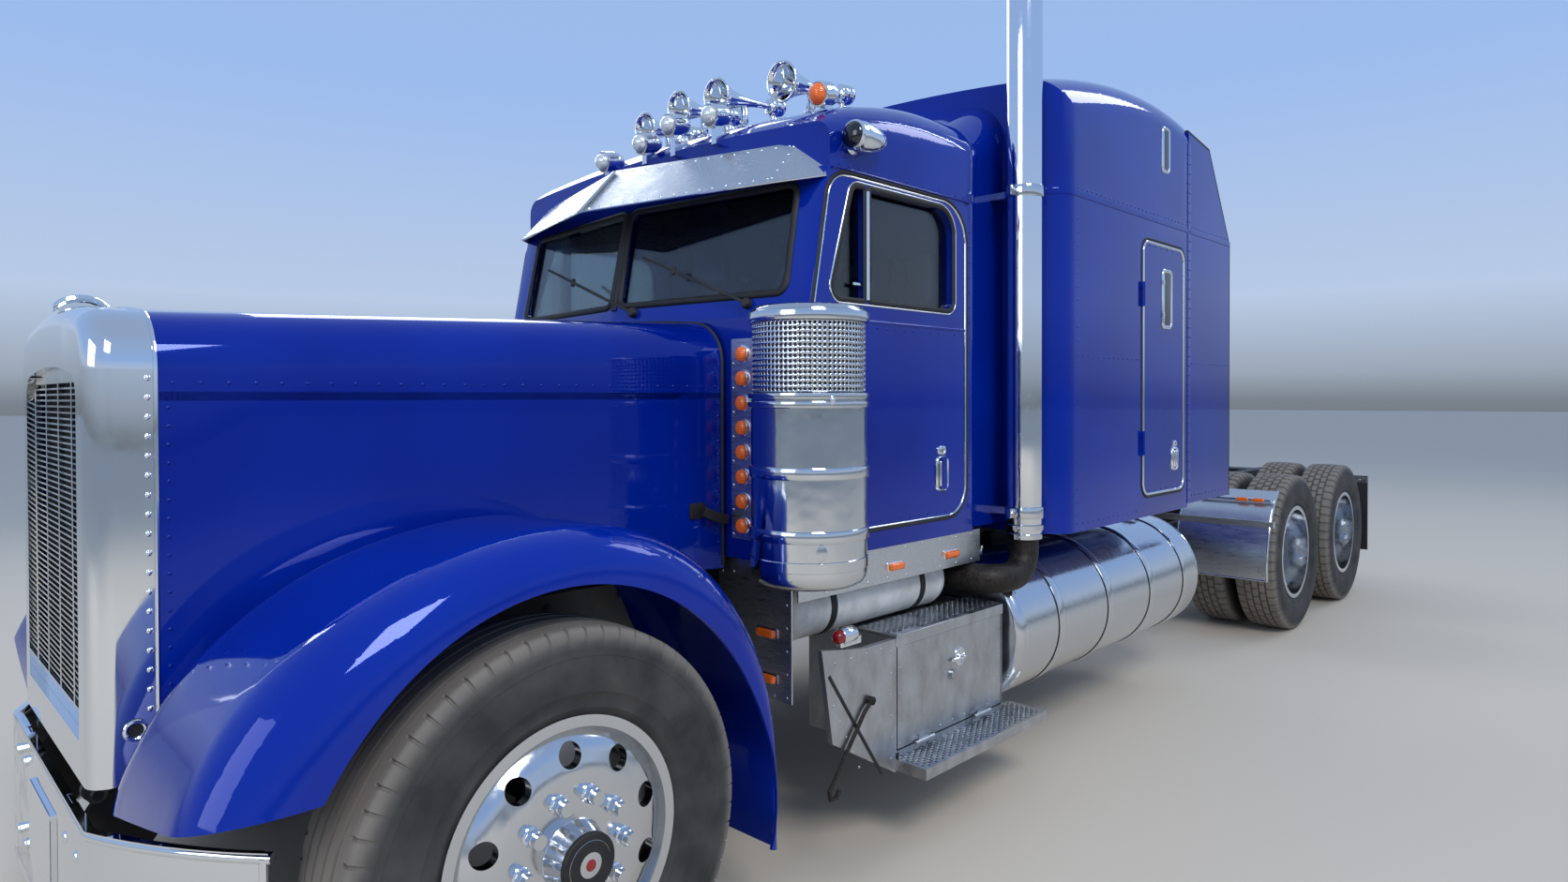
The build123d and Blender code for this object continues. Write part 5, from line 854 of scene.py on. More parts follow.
# teardrop spot lamps: smooth chrome body, dark lens, cone to the roof's side
spot = {"rim": (1.030, -2.280, 2.570), "foot": (0.984, -2.270, 2.550)}
spotBody = [(0.046, -0.046), (0.051, -0.045), (0.0535, -0.040), (0.0535, -0.034), (0.0525, -0.032),
            (0.0545, -0.012), (0.055, 0.004), (0.0535, 0.030), (0.049, 0.056), (0.042, 0.082), (0.032, 0.106),
            (0.019, 0.126), (0.008, 0.137), (0.0002, 0.140)]
spotLens = [(0.0002, -0.066), (0.014, -0.065), (0.028, -0.061), (0.039, -0.054), (0.0465, -0.045), (0.0465, -0.040)]
spotCone = [(0.034, 0.0), (0.032, 0.004), (0.024, 0.010), (0.016, 0.022), (0.013, 0.034), (0.013, 0.050)]
piece = putPair("spot_lamp_bodies", joined([turned(spotBody, 36, spot["rim"], yAxis),
                                            turned(spotCone, 28, spot["foot"], xAxis)]), "chrome_plate")
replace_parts(piece, "spot_lamps")
putPair("spot_lamp_lenses", turned(spotLens, 32, spot["rim"], yAxis), "window_glass", material=smokedAcrylic)


def makePane(origin, sweep, out):
    # a flat place on the left half of a swept and raked pane
    across, out = np.array([1, sweep, 0]) / hypot(1, sweep), out / np.linalg.norm(out)
    return {"origin": np.array(origin), "across": across, "up": np.cross(out, across), "out": out}


def onPane(pane, flat, lift=0.0):
    flat = np.asarray(flat, float)
    return pane["origin"] + flat[:, :1] * pane["across"] + flat[:, 1:] * pane["up"] + lift * pane["out"]


# Visor: rolled lower edge, middle strip and rows of rivets over the sheet
visorSheet = {"origin": (0.0, -2.767, 2.380), "sweep": 0.26, "slope": (0, 0.170, 0.185)}
visorSlope = np.array(visorSheet["slope"])
visor = makePane(visorSheet["origin"], visorSheet["sweep"], np.cross([1, visorSheet["sweep"], 0], visorSlope))
lowerEdge = np.vstack([onPane(visor, [(0.0, 0.003), (0.45, 0.018), (0.868, 0.0305)], -0.0025),
                       [(0.983, -2.414, 2.420), (0.930, -2.368, 2.506)]])
putPair("visor_rolled_edge", alongPath(lowerEdge, ring(0.0048, 8), visor["out"]), "stainless_sheet")
visorRows = [(u, 0.020 + 0.034 * u / 0.87) for u in np.linspace(0.04, 0.84, 15)]
visorRows += [(u, 0.244) for u in np.linspace(0.03, 0.86, 15)]
visorRows += [(0.850 + 0.030 * v / 0.25, v) for v in np.linspace(0.055, 0.235, 5)]
putPair("visor_rivets", repeated(rivetShape(0.0058, 0.0030), onPane(visor, visorRows), visor["out"]),
        "chrome_plate")
stripRun = [visor["origin"] + visorSlope / np.linalg.norm(visorSlope) * along + [0, -0.001, 0]
            for along in (0.004, 0.13, 0.254)]
putPiece("visor_middle_strip", alongPath(stripRun, domeSection(0.016, 0.006), (0, -1, 1)), "stainless_sheet")
print("roof fittings made")


# Fuel tanks

tank = {"x": 0.800, "z": 0.620, "radius": 0.324, "front": -1.340, "rear": 0.720, "straps": (0.18, 0.42, 0.66, 0.88)}
length = tank["rear"] - tank["front"]


def inTank(along):
    return (tank["x"], tank["front"] + along, tank["z"])


# half the outline: a flat end with a rolled rim of 45 mm
t = np.linspace(0, pi / 2, 9)
knuckle = np.column_stack([tank["radius"] - 0.045 + 0.045 * np.sin(t), 0.014 + 0.045 * (1 - np.cos(t))])
half = np.vstack([[(0.0002, 0.0), (0.12, 0.002), (0.20, 0.006), (0.262, 0.012)], knuckle])
outline = np.vstack([half, [(tank["radius"], s * length) for s in (0.2, 0.4, 0.6, 0.8)],
                     (half * [1, -1] + [0, length])[::-1]])
piece = putPair("fuel_tank_shells", setAt(turnOutline(outline, 72), inTank(0), yAxis), "polished_aluminium")
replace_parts(piece, "fuel_tanks")
liner = [(0.3242, -0.031), (0.3265, -0.031), (0.3265, 0.031), (0.3242, 0.031)]
strapOut = [(0.3266, -0.026), (0.3292, -0.025), (0.330, -0.020), (0.330, 0.020), (0.3292, 0.025), (0.3266, 0.026)]
weld = [(0.3238, -0.004), (0.3258, -0.002), (0.3258, 0.002), (0.3238, 0.004)]
liners, bands = [], []
for share in tank["straps"]:
    place = inTank(share * length)
    liners += [turned(liner, 72, place, yAxis, closed=True),
               block((0.30, 0.056, 0.34), 0.006, (0.585, place[1], tank["z"] - 0.06)),
               block((0.036, 0.056, 0.36), 0.006, (0.452, place[1], tank["z"] + 0.13))]
    bands.append(turned(strapOut, 72, place, yAxis, closed=True))
bands += [turned(weld, 72, inTank(along), yAxis, closed=True) for along in (0.06, length - 0.06)]
putPair("fuel_tank_strap_liners", joined(liners), "flap_rubber")
putPair("fuel_tank_straps", joined(bands), "stainless_sheet")
# filler neck with its cap, and three vents
neck = [(0.052, -0.02), (0.052, 0.022), (0.060, 0.024), (0.060, 0.044), (0.056, 0.052), (0.036, 0.055),
        (0.0002, 0.055)]
vent = [(0.012, -0.01), (0.012, 0.012), (0.016, 0.014), (0.016, 0.026), (0.009, 0.030), (0.0002, 0.030)]
tops = [turned(neck, 32, (tank["x"], tank["rear"] - 0.240, tank["z"] + tank["radius"] - 0.006))]
tops += [turned(vent, 16, (tank["x"], y, tank["z"] + 0.322))
         for y in (tank["rear"] - 0.12, tank["rear"] - 0.36, tank["front"] + 0.2)]
putPair("fuel_tank_caps", joined(tops), "chrome_plate")
print("fuel tanks made")


# Doors, windows, seals and handles

door = {"front": -2.495, "rear": -1.540, "bottom": 1.165, "belt": 1.930, "top": 2.445, "lean": 0.097,
        "radii": (0.110, 0.170, 0.130)}
window = {"frontLow": -2.403, "frontTop": -2.270, "rear": -1.632, "sill": 2.000, "top": 2.410, "bar": -2.190}
flankAt = {"cab": 0.985, "sleeper": 1.200}
cabX, sleeperX = flankAt["cab"], flankAt["sleeper"]


def doorLine(grow):
    front, rear, bottom, top = door["front"] - grow, door["rear"] + grow, door["bottom"] - grow, door["top"] + grow
    frontTop, rearTop, rearLow = (r + grow for r in door["radii"])
    return roundCorners([(front, bottom), (front, door["belt"]), (front + door["lean"], top), (rear, top),
                         (rear, bottom)], [0.004, 0, frontTop, rearTop, rearLow], 14)


def windowLine(grow, low=None, high=None):
    # the whole window, or the part of it between two places along the truck
    sill, top, rear = window["sill"] - grow, window["top"] + grow, window["rear"] + grow
    corners = [(window["frontLow"] - grow, sill), (window["frontTop"] - grow, top), (rear, top), (rear, sill)]
    radii = [0.045 + grow, 0.045 + grow, 0.100 + grow, 0.045 + grow]
    if low is not None:
        corners[:2], radii[:2] = [(low, sill), (low, top)], [0.012, 0.012]
    if high is not None:
        corners[2:], radii[2:] = [(high, top), (high, sill)], [0.012, 0.012]
    return roundCorners(corners, radii, 10)


def flankLoop(flat, x, section):
    # a closed bead round a (y, z) outline; its section is given as (in the plane, outwards)
    return alongPath(onSide(flat, x), section, xAxis, closed=True)


def flankRun(points, x, section):
    return alongPath(onSide(np.asarray(points, float), x), section, xAxis)


def sidePlate(x, y, z, width, height, radius, levels):
    return plateLoops(roundedBox(width, height, radius), levels, facingSide(x, y, z))


def putHandle(name, place, side, sideName, body, size):
    # pull handle: a bright frame round a dark dish, two upright bars across it, and a lock on an oval plate above;
    # the dish and the keyhole slot are dark plates, painted shade of the recess and of the keyhole
    x, y, z = place
    lockZ = z + 0.092 * size
    bright = [flankLoop(roundedBox(0.074 * size, 0.128 * size, 0.022 * size) + [y, z], x - 0.0005,
                        domeSection(0.0075, 0.0110)),
              sidePlate(x, y, lockZ, 0.062 * size, 0.036 * size, 0.017 * size,
                        [(0, -0.001), (0, 0.0040), (-0.003, 0.0060), (-0.008, 0.0068)]),
              turned([(0.0002, 0.0085), (0.009, 0.0085), (0.0105, 0.0100), (0.0125, 0.0100), (0.014, 0.006)], 24,
                     (x, y, lockZ), xAxis)]
    barLevels = [(0, 0.002), (0, 0.010), (-0.0022, 0.0135), (-0.005, 0.0145)]
    bright += [sidePlate(x, y + shift * size, z, 0.017 * size, 0.104 * size, 0.006, barLevels)
               for shift in (-0.0135, 0.0135)]
    putSide(name + "_handle_" + sideName, joined(bright), side, "chrome_plate", body)
    # painted shade: a dark plate raised on the skin for the handle's recess, and a dark slot for the keyhole
    dark = [sidePlate(x, y, z, 0.068 * size, 0.122 * size, 0.020 * size,
                      [(0, -0.001), (0, 0.0022), (-0.004, 0.0026)]),
            sidePlate(x, y, lockZ, 0.0022, 0.010, 0.0009, [(0, 0.0080), (0, 0.0092)])]
    putSide(name + "_handle_recess_shade_" + sideName, joined(dark), side, "flap_rubber", body)


doorSeal = flankLoop(doorLine(0.0032), cabX - 0.001, domeSection(0.0062, 0.0075))
doorBead = flankLoop(doorLine(-0.0075), cabX - 0.0005, domeSection(0.0042, 0.0060))
gasketSection = domeSection(0.0105, 0.0065)
bar = window["bar"]
windowGaskets = joined([flankLoop(windowLine(0.002, low=bar + 0.012), cabX - 0.0005, gasketSection),
                        flankLoop(windowLine(0.002, high=bar - 0.012), cabX - 0.0005, gasketSection)])
windowTrim = joined([flankRun([(bar, 2.004), (bar, window["top"] - 0.012)], cabX + 0.0005,
                              domeSection(0.0110, 0.0090)),
                     flankLoop(windowLine(0.0145), cabX - 0.0005, domeSection(0.0035, 0.0045)),
                     block((0.012, 0.050, 0.016), 0.004, (cabX - 0.012, bar - 0.042, 2.060))])
# rivets along the door's foot and belt, a rolled seam at the belt
doorRivets = [(cabX, y, 1.192) for y in np.linspace(door["front"] + 0.03, door["rear"] - 0.15, 14)]
doorRivets += [(cabX, y, 1.905) for y in np.linspace(door["front"] + 0.03, door["rear"] - 0.03, 17)]
doorSeam = flankRun([(door["front"] + 0.012, 1.926), (door["rear"] - 0.012, 1.926)], cabX - 0.0005,
                    domeSection(0.0065, 0.0040))
for side, sideName in sideNames:
    body = "cab_door_" + sideName
    putSide("cab_door_seal_" + sideName, doorSeal, side, "flap_rubber", "chassis")
    putSide("cab_door_bead_" + sideName, doorBead, side, "chrome_plate", body)
    putSide("cab_window_gaskets_" + sideName, windowGaskets, side, "flap_rubber", body)
    putSide("cab_window_trim_" + sideName, windowTrim, side, "chrome_plate", body)
    putHandle("cab_door", (cabX, frontAxleY + 1.861, 1.345), side, sideName, body, 1.0)
    putSide("cab_door_rivets_" + sideName, repeated(smallRivet, doorRivets, xAxis), side, "cobalt_paint", body)
    putSide("cab_door_seam_" + sideName, doorSeam, side, "cobalt_paint", body)

# rivets and the drip rail over the doors, seam behind them, on the cab itself
cabRivets = [(cabX, y, 2.4725) for y in np.linspace(-2.345, -1.56, 15)]
cabRivets += [(cabX, frontAxleY + 2.066, z) for z in np.linspace(1.14, 2.40, 21)]
putPair("cab_side_rivets", repeated(smallRivet, cabRivets, xAxis), "cobalt_paint")
railFlat = [(-2.385, 2.4535), (-2.36, 2.4590), (-1.60, 2.4590), (-1.52, 2.4560)]
putPair("cab_drip_rails", flankRun(railFlat, cabX - 0.001, domeSection(0.0050, 0.0085)), "cobalt_paint")

# Windshield: gasket round each pane, bar down the middle, wipers on the cowl
windshield = {"origin": (0.0, -2.561, 2.215), "sweep": 0.12, "rake": 0.2, "size": (0.846, 0.400), "radius": 0.040,
              "middle": (0.445, 0.0)}
glass = makePane(windshield["origin"], windshield["sweep"], np.array([windshield["sweep"], -1, windshield["rake"]]))
glassOut = glass["out"]
paneFlat = roundedBox(*windshield["size"], windshield["radius"], 10) + windshield["middle"]
putPair("windshield_gaskets", alongPath(onPane(glass, paneFlat), domeSection(0.014, 0.009), glassOut, closed=True),
        "flap_rubber")
postPath = [glass["origin"] + up * glass["up"] * [0, 1, 1] + [0, -0.002, 0] for up in (-0.215, 0, 0.200)]
putPiece("windshield_post", alongPath(postPath, domeSection(0.016, 0.008), (0, -1, 0.2)), "flap_rubber")
wipers, blades = [], []
for pivotX, tipX in ((0.705, 0.335), (0.120, -0.250)):
    low, high = np.array([pivotX, -0.232]), np.array([tipX, -0.085])
    (base,), (tip,), (clip,) = onPane(glass, [low], 0.006), onPane(glass, [high], 0.030), onPane(glass, [high], 0.028)
    path = [base - glassOut * 0.004, base + glassOut * 0.012, (base + tip) / 2 + glassOut * 0.016, tip]
    wipers += [alongPath(path, roundedBox(0.012, 0.006, 0.002, 3), glassOut),
               turned([(0.020, -0.012), (0.020, 0.010), (0.015, 0.017), (0.0002, 0.018)], 20, base, glassOut),
               block((0.016, 0.034, 0.014), 0.003, clip, glassOut)]
    along = (high - low) / np.linalg.norm(high - low)
    ends = [high - along * 0.20, high + along * 0.20]
    blades.append(alongPath(onPane(glass, ends, 0.016), roundedBox(0.010, 0.018, 0.002, 3), glassOut))
putPiece("wiper_arms", joined(wipers), "frame_black")
putPiece("wiper_blades", joined(blades), "flap_rubber")

# Mirror: bright glass on the rear of its head
mirrorGlass = plateLoops(roundedBox(0.112, 0.350, 0.016), [(0, 0), (0, -0.0025), (-0.003, -0.0035)],
                         facingFront(-1.070, -2.165, 2.145))
putPiece("mirror_glass", mirrorGlass, "chrome_plate", "cab_door_right")
print("cab details made")


# Sleeper: seams, rivets, door beads, vents and handles

sleeper = {"front": frontAxleY + 2.452, "back": frontAxleY + 3.890, "seam": 2.550, "corner": 0.130, "neck": 0.925,
           "door": (frontAxleY + 3.285, frontAxleY + 3.830, 1.150, 2.440), "extenderRear": frontAxleY + 4.533}
sleeperFront, sleeperBack, seamZ, extenderRear = (sleeper[key] for key in ("front", "back", "seam", "extenderRear"))


def sleeperDoorLine(grow):
    front, rear, bottom, top = sleeper["door"]
    return roundCorners([(front - grow, bottom - grow), (rear + grow, bottom - grow), (rear + grow, top + grow),
                         (front - grow, top + grow)], 0.070 + grow, 12)


# narrow vent in the door: bright frame, dark pane, two hinges
ventY, ventZ = frontAxleY + 3.592, 2.157
ventLevels = [(0, -0.001), (0, 0.0035), (-0.006, 0.0042)]
ventFrame = [flankLoop(roundedBox(0.104, 0.290, 0.020) + [ventY, ventZ], sleeperX - 0.0005,
                       domeSection(0.0105, 0.0100))]
ventFrame += [block((0.010, 0.016, 0.030), 0.003, (sleeperX + 0.006, frontAxleY + 3.537, z)) for z in (2.07, 2.24)]
ventPane = sidePlate(sleeperX, ventY, ventZ, 0.104, 0.290, 0.020, ventLevels)
sleeperDoorRivets = [(sleeperX, y, z) for z in (1.178, 2.412)
                     for y in np.linspace(sleeper["door"][0] + 0.09, sleeper["door"][1] - 0.09, 6)]
for side, sideName in sideNames:
    body = "sleeper_door_" + sideName
    putSide("sleeper_door_seal_" + sideName, flankLoop(sleeperDoorLine(0.0030), sleeperX - 0.001,
            domeSection(0.0058, 0.0065)), side, "flap_rubber", "chassis")
    putSide("sleeper_door_bead_" + sideName, flankLoop(sleeperDoorLine(-0.0115), sleeperX - 0.0005,
            domeSection(0.0075, 0.0080)), side, "chrome_plate", body)
    putSide("sleeper_vent_pane_" + sideName, ventPane, side, "window_glass", body, smokedAcrylic)
    putSide("sleeper_vent_frame_" + sideName, joined(ventFrame), side, "chrome_plate", body)
    putHandle("sleeper_door", (sleeperX, frontAxleY + 3.696, 1.325), side, sideName, body, 0.86)
    putSide("sleeper_door_rivets_" + sideName, repeated(smallRivet, sleeperDoorRivets, xAxis), side, "cobalt_paint",
            body)

# upper vents in the roof's sides
upperAt = (frontAxleY + 3.575, 2.925)
putPair("roof_vent_panes", sidePlate(sleeperX, *upperAt, 0.080, 0.220, 0.018, ventLevels), "window_glass",
        material=smokedAcrylic)
putPair("roof_vent_frames", flankLoop(roundedBox(0.080, 0.220, 0.018) + upperAt, sleeperX - 0.0005,
                                      domeSection(0.009, 0.009)), "chrome_plate")

# lap seams: one level strip round the sleeper and on over the extender, one upright at the rear edge
corner = np.linspace(0, pi / 2, 8)
frontCorner = np.column_stack([sleeperX - sleeper["corner"] * (1 - np.sin(corner)),
                               sleeperFront + sleeper["corner"] * (1 - np.cos(corner))])
seamPlan = np.vstack([[(sleeper["neck"] + 0.02, sleeperFront)], frontCorner, [(sleeperX, sleeperBack - 0.02)]])
seamPath = np.column_stack([seamPlan, np.full(len(seamPlan), seamZ)])
lapSection = np.array([(-0.014, 0.0), (-0.014, 0.0018), (-0.011, 0.0026), (0.011, 0.0026), (0.014, 0.0018),
                       (0.014, 0.0)])
laps = [alongPath(seamPath, lapSection[:, ::-1] * [1, -1], zAxis),
        flankRun([(sleeperBack + 0.0015, 1.072), (sleeperBack + 0.0015, 3.02)], sleeperX - 0.0003,
                 lapSection * [1.5, 1]),
        flankRun([(sleeperBack + 0.026, seamZ), (extenderRear - 0.004, seamZ)], sleeperX - 0.0003, lapSection)]
putPair("sleeper_lap_seams", joined(laps), "cobalt_paint")
# level rows: heights, from, to, pitch
rivetRows = []
for heights, start, end, pitch in (
        ((seamZ + 0.026,), sleeperFront + 0.15, sleeperBack - 0.03, 0.046),
        ((seamZ + 0.026,), sleeperBack + 0.05, extenderRear - 0.02, 0.046),
        ((1.086, 1.832), sleeperFront + 0.15, sleeper["door"][0] - 0.03, 0.052),
        ((1.110, 1.832), sleeperBack + 0.05, extenderRear - 0.02, 0.052)):
    rivetRows += [(sleeperX, y, z) for z in heights for y in np.arange(start, end, pitch)]
rivetRows += [(sleeperX + 0.0022, sleeperBack + dy, z) for dy in (-0.0125, 0.0155)
              for z in np.arange(1.09, 3.0, 0.052)]
rivetRows += [(sleeperX, sleeperFront + 0.150, z) for z in np.arange(1.12, 2.50, 0.060)]
putPair("sleeper_rivets", repeated(smallRivet, rivetRows, xAxis), "cobalt_paint")
# rolled edge along the extender's rear and raked top
edgeFlat = np.array([(extenderRear, 1.072), (extenderRear, 2.551), (frontAxleY + 4.200, 3.047),
                     (sleeperBack + 0.02, 3.0845)]) - [0.006, 0.004]
putPair("extender_edges", flankRun(edgeFlat, sleeperX - 0.020, ring(0.0215, 12)), "flap_rubber")
print("sleeper details made")


# Lamps, steps, tanks and trim along the flanks

lampBezel = [(0.0315, -0.0005), (0.0315, 0.003), (0.0295, 0.006), (0.0265, 0.0065), (0.0255, 0.004)]
lampDome = [(0.0260, 0.001), (0.0260, 0.008), (0.0250, 0.013), (0.0215, 0.0175), (0.0150, 0.0205), (0.0075, 0.0217),
            (0.0002, 0.0220)]
cowl = {"x": 0.785, "face": -2.624, "lowest": 1.207, "pitch": 0.085, "count": 8}
cowlPlaces = [(cowl["x"], cowl["face"], cowl["lowest"] + cowl["pitch"] * i) for i in range(cowl["count"])]
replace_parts(putPair("cowl_lamp_lenses", repeated(turnOutline(lampDome, 24), cowlPlaces, forwards), "amber_lens"),
            "marker_lamps")
putPair("cowl_lamp_bezels", repeated(turnOutline(lampBezel, 24), cowlPlaces, forwards), "chrome_plate")

# oblong lamps: a bright base and a crowned lens
oblongPlaces = [facingFront(0.868, -2.5905, z) for z in (0.690, 0.845)]
oblongPlaces += [facingSide(0.9755, frontAxleY + along, 1.010) for along in (1.200, 1.568, 1.941)]
for name, rim, levels, slotName in (
        ("oblong_lamp_lenses", roundedBox(0.084, 0.028, 0.008),
         [(0, 0.003), (0, 0.012), (-0.0025, 0.0175), (-0.006, 0.0200), (-0.010, 0.0208)], "amber_lens"),
        ("oblong_lamp_bases", roundedBox(0.100, 0.036, 0.006),
         [(0, -0.0005), (0, 0.0035), (-0.003, 0.0050), (-0.0055, 0.0050)], "chrome_plate")):
    putPair(name, joined([plateLoops(rim, levels, toWorld) for toWorld in oblongPlaces]), slotName)

# rivets down both edges of the cowl strip, round the lower panel and along the skirt
cowlRivets = [(cowl["x"] + dx, cowl["face"], z) for dx in (-0.050, 0.050)
              for z in np.arange(1.175, 1.850, cowl["pitch"])]
cowlRivets += [(x, -2.591, z) for x in (0.640, 0.960) for z in np.linspace(0.64, 1.03, 6)]
cowlRivets += [(x, -2.591, z) for x in np.linspace(0.70, 0.90, 3) for z in (0.636, 1.034)]
putPair("cowl_rivets", repeated(sheetRivet, cowlRivets, forwards), "stainless_sheet")
skirtRivets = [(0.976, frontAxleY + along, z) for along in np.arange(1.06, 2.16, 0.115) for z in (0.970, 1.076)]
putPair("skirt_rivets", repeated(sheetRivet, skirtRivets, xAxis), "stainless_sheet")

# Step boxes: toothed treads, riveted doors, turning latches and a hooked rod
box = {"front": frontAxleY + 1.471, "rear": frontAxleY + 2.215, "face": 1.050, "top": 0.764, "step": 0.321,
       "stepCentre": 1.100}
boxFront, boxRear, boxFace = box["front"], box["rear"], box["face"]
boxMiddle, boxLength = (boxFront + boxRear) / 2, boxRear - boxFront - 0.004
tooth = boxShape((0.014, 0.0085, 0.005), 0.0015)
topRows = [(boxFace - 0.165 + 0.025 * (i + 0.5 * (j % 2)), boxFront + 0.020 + 0.0185 * j)
           for j in range(int((boxRear - boxFront - 0.03) / 0.0185)) for i in range(6)]
stepRows = [(box["stepCentre"] - 0.070 + 0.0235 * (i + 0.5 * (j % 2)), boxMiddle + 0.060 - 0.415 + 0.0215 * j)
            for j in range(39) for i in range(6)]
treads = [block((0.185, boxLength, 0.016), 0.004, (boxFace - 0.090, boxMiddle, box["top"] + 0.006)),
          block((0.012, boxLength, 0.046), 0.003, (boxFace + 0.001, boxMiddle, box["top"] - 0.010))]
treads += [repeated(tooth, [(x, y, z) for x, y in rows], zAxis)
           for rows, z in ((topRows, box["top"] + 0.0155), (stepRows, box["step"] + 0.0015))]
putPair("step_treads", joined(treads), "polished_aluminium", material=millAluminium)
# painted shadow: dark plates between the lower step's teeth stand for the openings through the tread
slotShadows = [plateLoops(roundedBox(0.0135, 0.0070, 0.0034, 3), [(0, -0.0005), (0, 0.0006), (-0.001, 0.0007)],
                    facingUp(x + 0.0118, y + 0.0005, box["step"]))
         for x, y in stepRows if x < box["stepCentre"] + 0.06]
putPair("step_slot_shadows", joined(slotShadows), "flap_rubber")
boxRivets = [(boxFace + 0.0003, y, z) for z in (0.372, 0.738)
             for y in np.linspace(boxFront + 0.03, boxRear - 0.03, 9)]
boxRivets += [(boxFace + 0.0003, y, z) for y in (boxFront + 0.03, boxRear - 0.03) for z in (0.46, 0.555, 0.65)]
latchPlace = np.array([boxFace, boxMiddle + 0.05, 0.615])
latchBase = [(0.036, -0.001), (0.036, 0.003), (0.033, 0.0052), (0.026, 0.0052), (0.024, 0.0022), (0.0002, 0.0022)]
latch = [turned(latchBase, 32, latchPlace, xAxis),
         turned([(0.011, 0.001), (0.011, 0.011), (0.009, 0.013), (0.0002, 0.0135)], 20, latchPlace, xAxis),
         block((0.007, 0.098, 0.014), 0.003, latchPlace + [0.011, -0.020, -0.004])]
for side, sideName in sideNames:
    body = "toolbox_door_" + sideName
    putSide("toolbox_rivets_" + sideName, repeated(doorRivet, boxRivets, xAxis), side, "polished_aluminium", body,
            millAluminium)
    putSide("toolbox_latch_" + sideName, joined(latch), side, "chrome_plate", body)
gussetRivets = [(boxFace, y, 0.742) for y in (-2.445, -2.36, -2.275, -2.19)]
gussetRivets += [(boxFace, -2.135, z) for z in np.linspace(0.33, 0.72, 6)]
gussetRivets += [(boxFace, -2.455 + 0.034 * k, 0.60 - 0.062 * k) for k in range(5)]
putPair("gusset_rivets", repeated(doorRivet, gussetRivets, xAxis), "polished_aluminium", material=millAluminium)
# slanted dark joint across the gusset, and the rod that hangs from its eye
putPair("gusset_seams", flankRun([(-2.478, 0.705), (-2.33, 0.49), (-2.192, 0.292)], boxFace,
                                 domeSection(0.0075, 0.0028)), "flap_rubber")
rodFlat = [(-2.262, 0.575), (-2.300, 0.548), (-2.400, 0.430), (-2.462, 0.352), (-2.492, 0.322), (-2.486, 0.292),
           (-2.455, 0.290), (-2.440, 0.312)]
rodEye = turned([(0.015, -0.014), (0.015, 0.007), (0.011, 0.010), (0.0002, 0.010)], 16,
                (boxFace + 0.012, *rodFlat[0]), xAxis)
putPair("step_box_rods", joined([flankRun(rodFlat, boxFace + 0.012, ring(0.0075, 8)), rodEye]), "cast_iron")

# Air reservoirs: dark straps and weld beads, and a red lens above each gusset
reservoir = {"x": 0.800, "z": 0.890, "ends": (frontAxleY + 1.080, frontAxleY + 2.020)}
strapSection = np.array([(-0.016, -0.001), (-0.016, 0.002), (-0.014, 0.003), (0.014, 0.003), (0.016, 0.002),
                         (0.016, -0.001)])
circle = ring(0.1165, 40)
outward = np.column_stack([circle[:, 0], np.zeros(40), circle[:, 1]]) / 0.1165
straps = []
for share in (0.22, 0.80):
    y = reservoir["ends"][0] + share * (reservoir["ends"][1] - reservoir["ends"][0])
    loop = np.column_stack([reservoir["x"] + circle[:, 0], np.full(40, y), reservoir["z"] + circle[:, 1]])
    points = loop[:, None] + strapSection[None, :, :1] * yAxis + strapSection[None, :, 1:] * outward[:, None]
    straps.append((points.reshape(-1, 3), cornersToQuads(40, 6, True)))
putPair("reservoir_straps", joined(straps), "flap_rubber")
bead = [(0.1148, -0.004), (0.1165, -0.002), (0.1165, 0.002), (0.1148, 0.004)]
beads = [turned(bead, 48, (reservoir["x"], end + shift, reservoir["z"]), yAxis)
         for end, shift in zip(reservoir["ends"], (0.060, -0.060))]
putPair("reservoir_weld_beads", joined(beads), "tank_white")
lensPlace = np.array([1.030, -2.392, 0.822])
redLens = [(0.024, 0.002), (0.024, 0.018), (0.020, 0.028), (0.011, 0.0335), (0.0002, 0.035)]
holder = [(0.0002, -0.075), (0.022, -0.072), (0.028, -0.060), (0.030, 0.004), (0.028, 0.007), (0.024, 0.007)]
putPair("step_box_red_lenses", turned(redLens, 24, lensPlace, forwards), "amber_lens", material=redAcrylic)
putPair("step_box_lens_holders", joined([turned(holder, 24, lensPlace, forwards), block(
    (0.030, 0.110, 0.034), 0.004, (lensPlace[0], lensPlace[1] + 0.040, 0.800))]), "chrome_plate")

# Quarter fenders: rolled edges along a parabola through three places, and the two amber lamps at the top
quarter = {"arc": [(1.735, 0.430), (1.780, 0.760), (1.965, 1.010)], "inner": 0.584, "outer": 1.183}
(y0, z0), (y1, z1), (y2, z2) = quarter["arc"]
t = np.linspace(0, 1, 15)
first, second, third = (1 - t) * (1 - 2 * t), 4 * t * (1 - t), t * (2 * t - 1)
edgeFlat = np.column_stack([y0 * first + y1 * second + y2 * third, z0 * first + z1 * second + z2 * third])
edges = [flankRun(edgeFlat, x, ring(0.0065, 8)) for x in (quarter["inner"] + 0.004, quarter["outer"] - 0.004)]
edges.append(alongPath([(x, y0 + 0.002, z0 + 0.004) for x in (quarter["inner"], 0.88, quarter["outer"])],
                       ring(0.0065, 8), zAxis))
putPair("quarter_fender_edges", joined(edges), "stainless_sheet")
barPath = [(x, 1.873, 0.952) for x in (0.70, 0.90, 1.165)]
putPair("quarter_fender_lamp_bars", alongPath(barPath, ring(0.012, 12), zAxis), "chrome_plate")
quarterLenses = [plateLoops(roundedBox(0.074, 0.026, 0.007), [(0, -0.002), (0, 0.006), (-0.003, 0.010),
                 (-0.007, 0.0118)], facingFront(x, 1.862, 0.952)) for x in (0.985, 1.085)]
putPair("quarter_fender_lenses", joined(quarterLenses), "amber_lens")

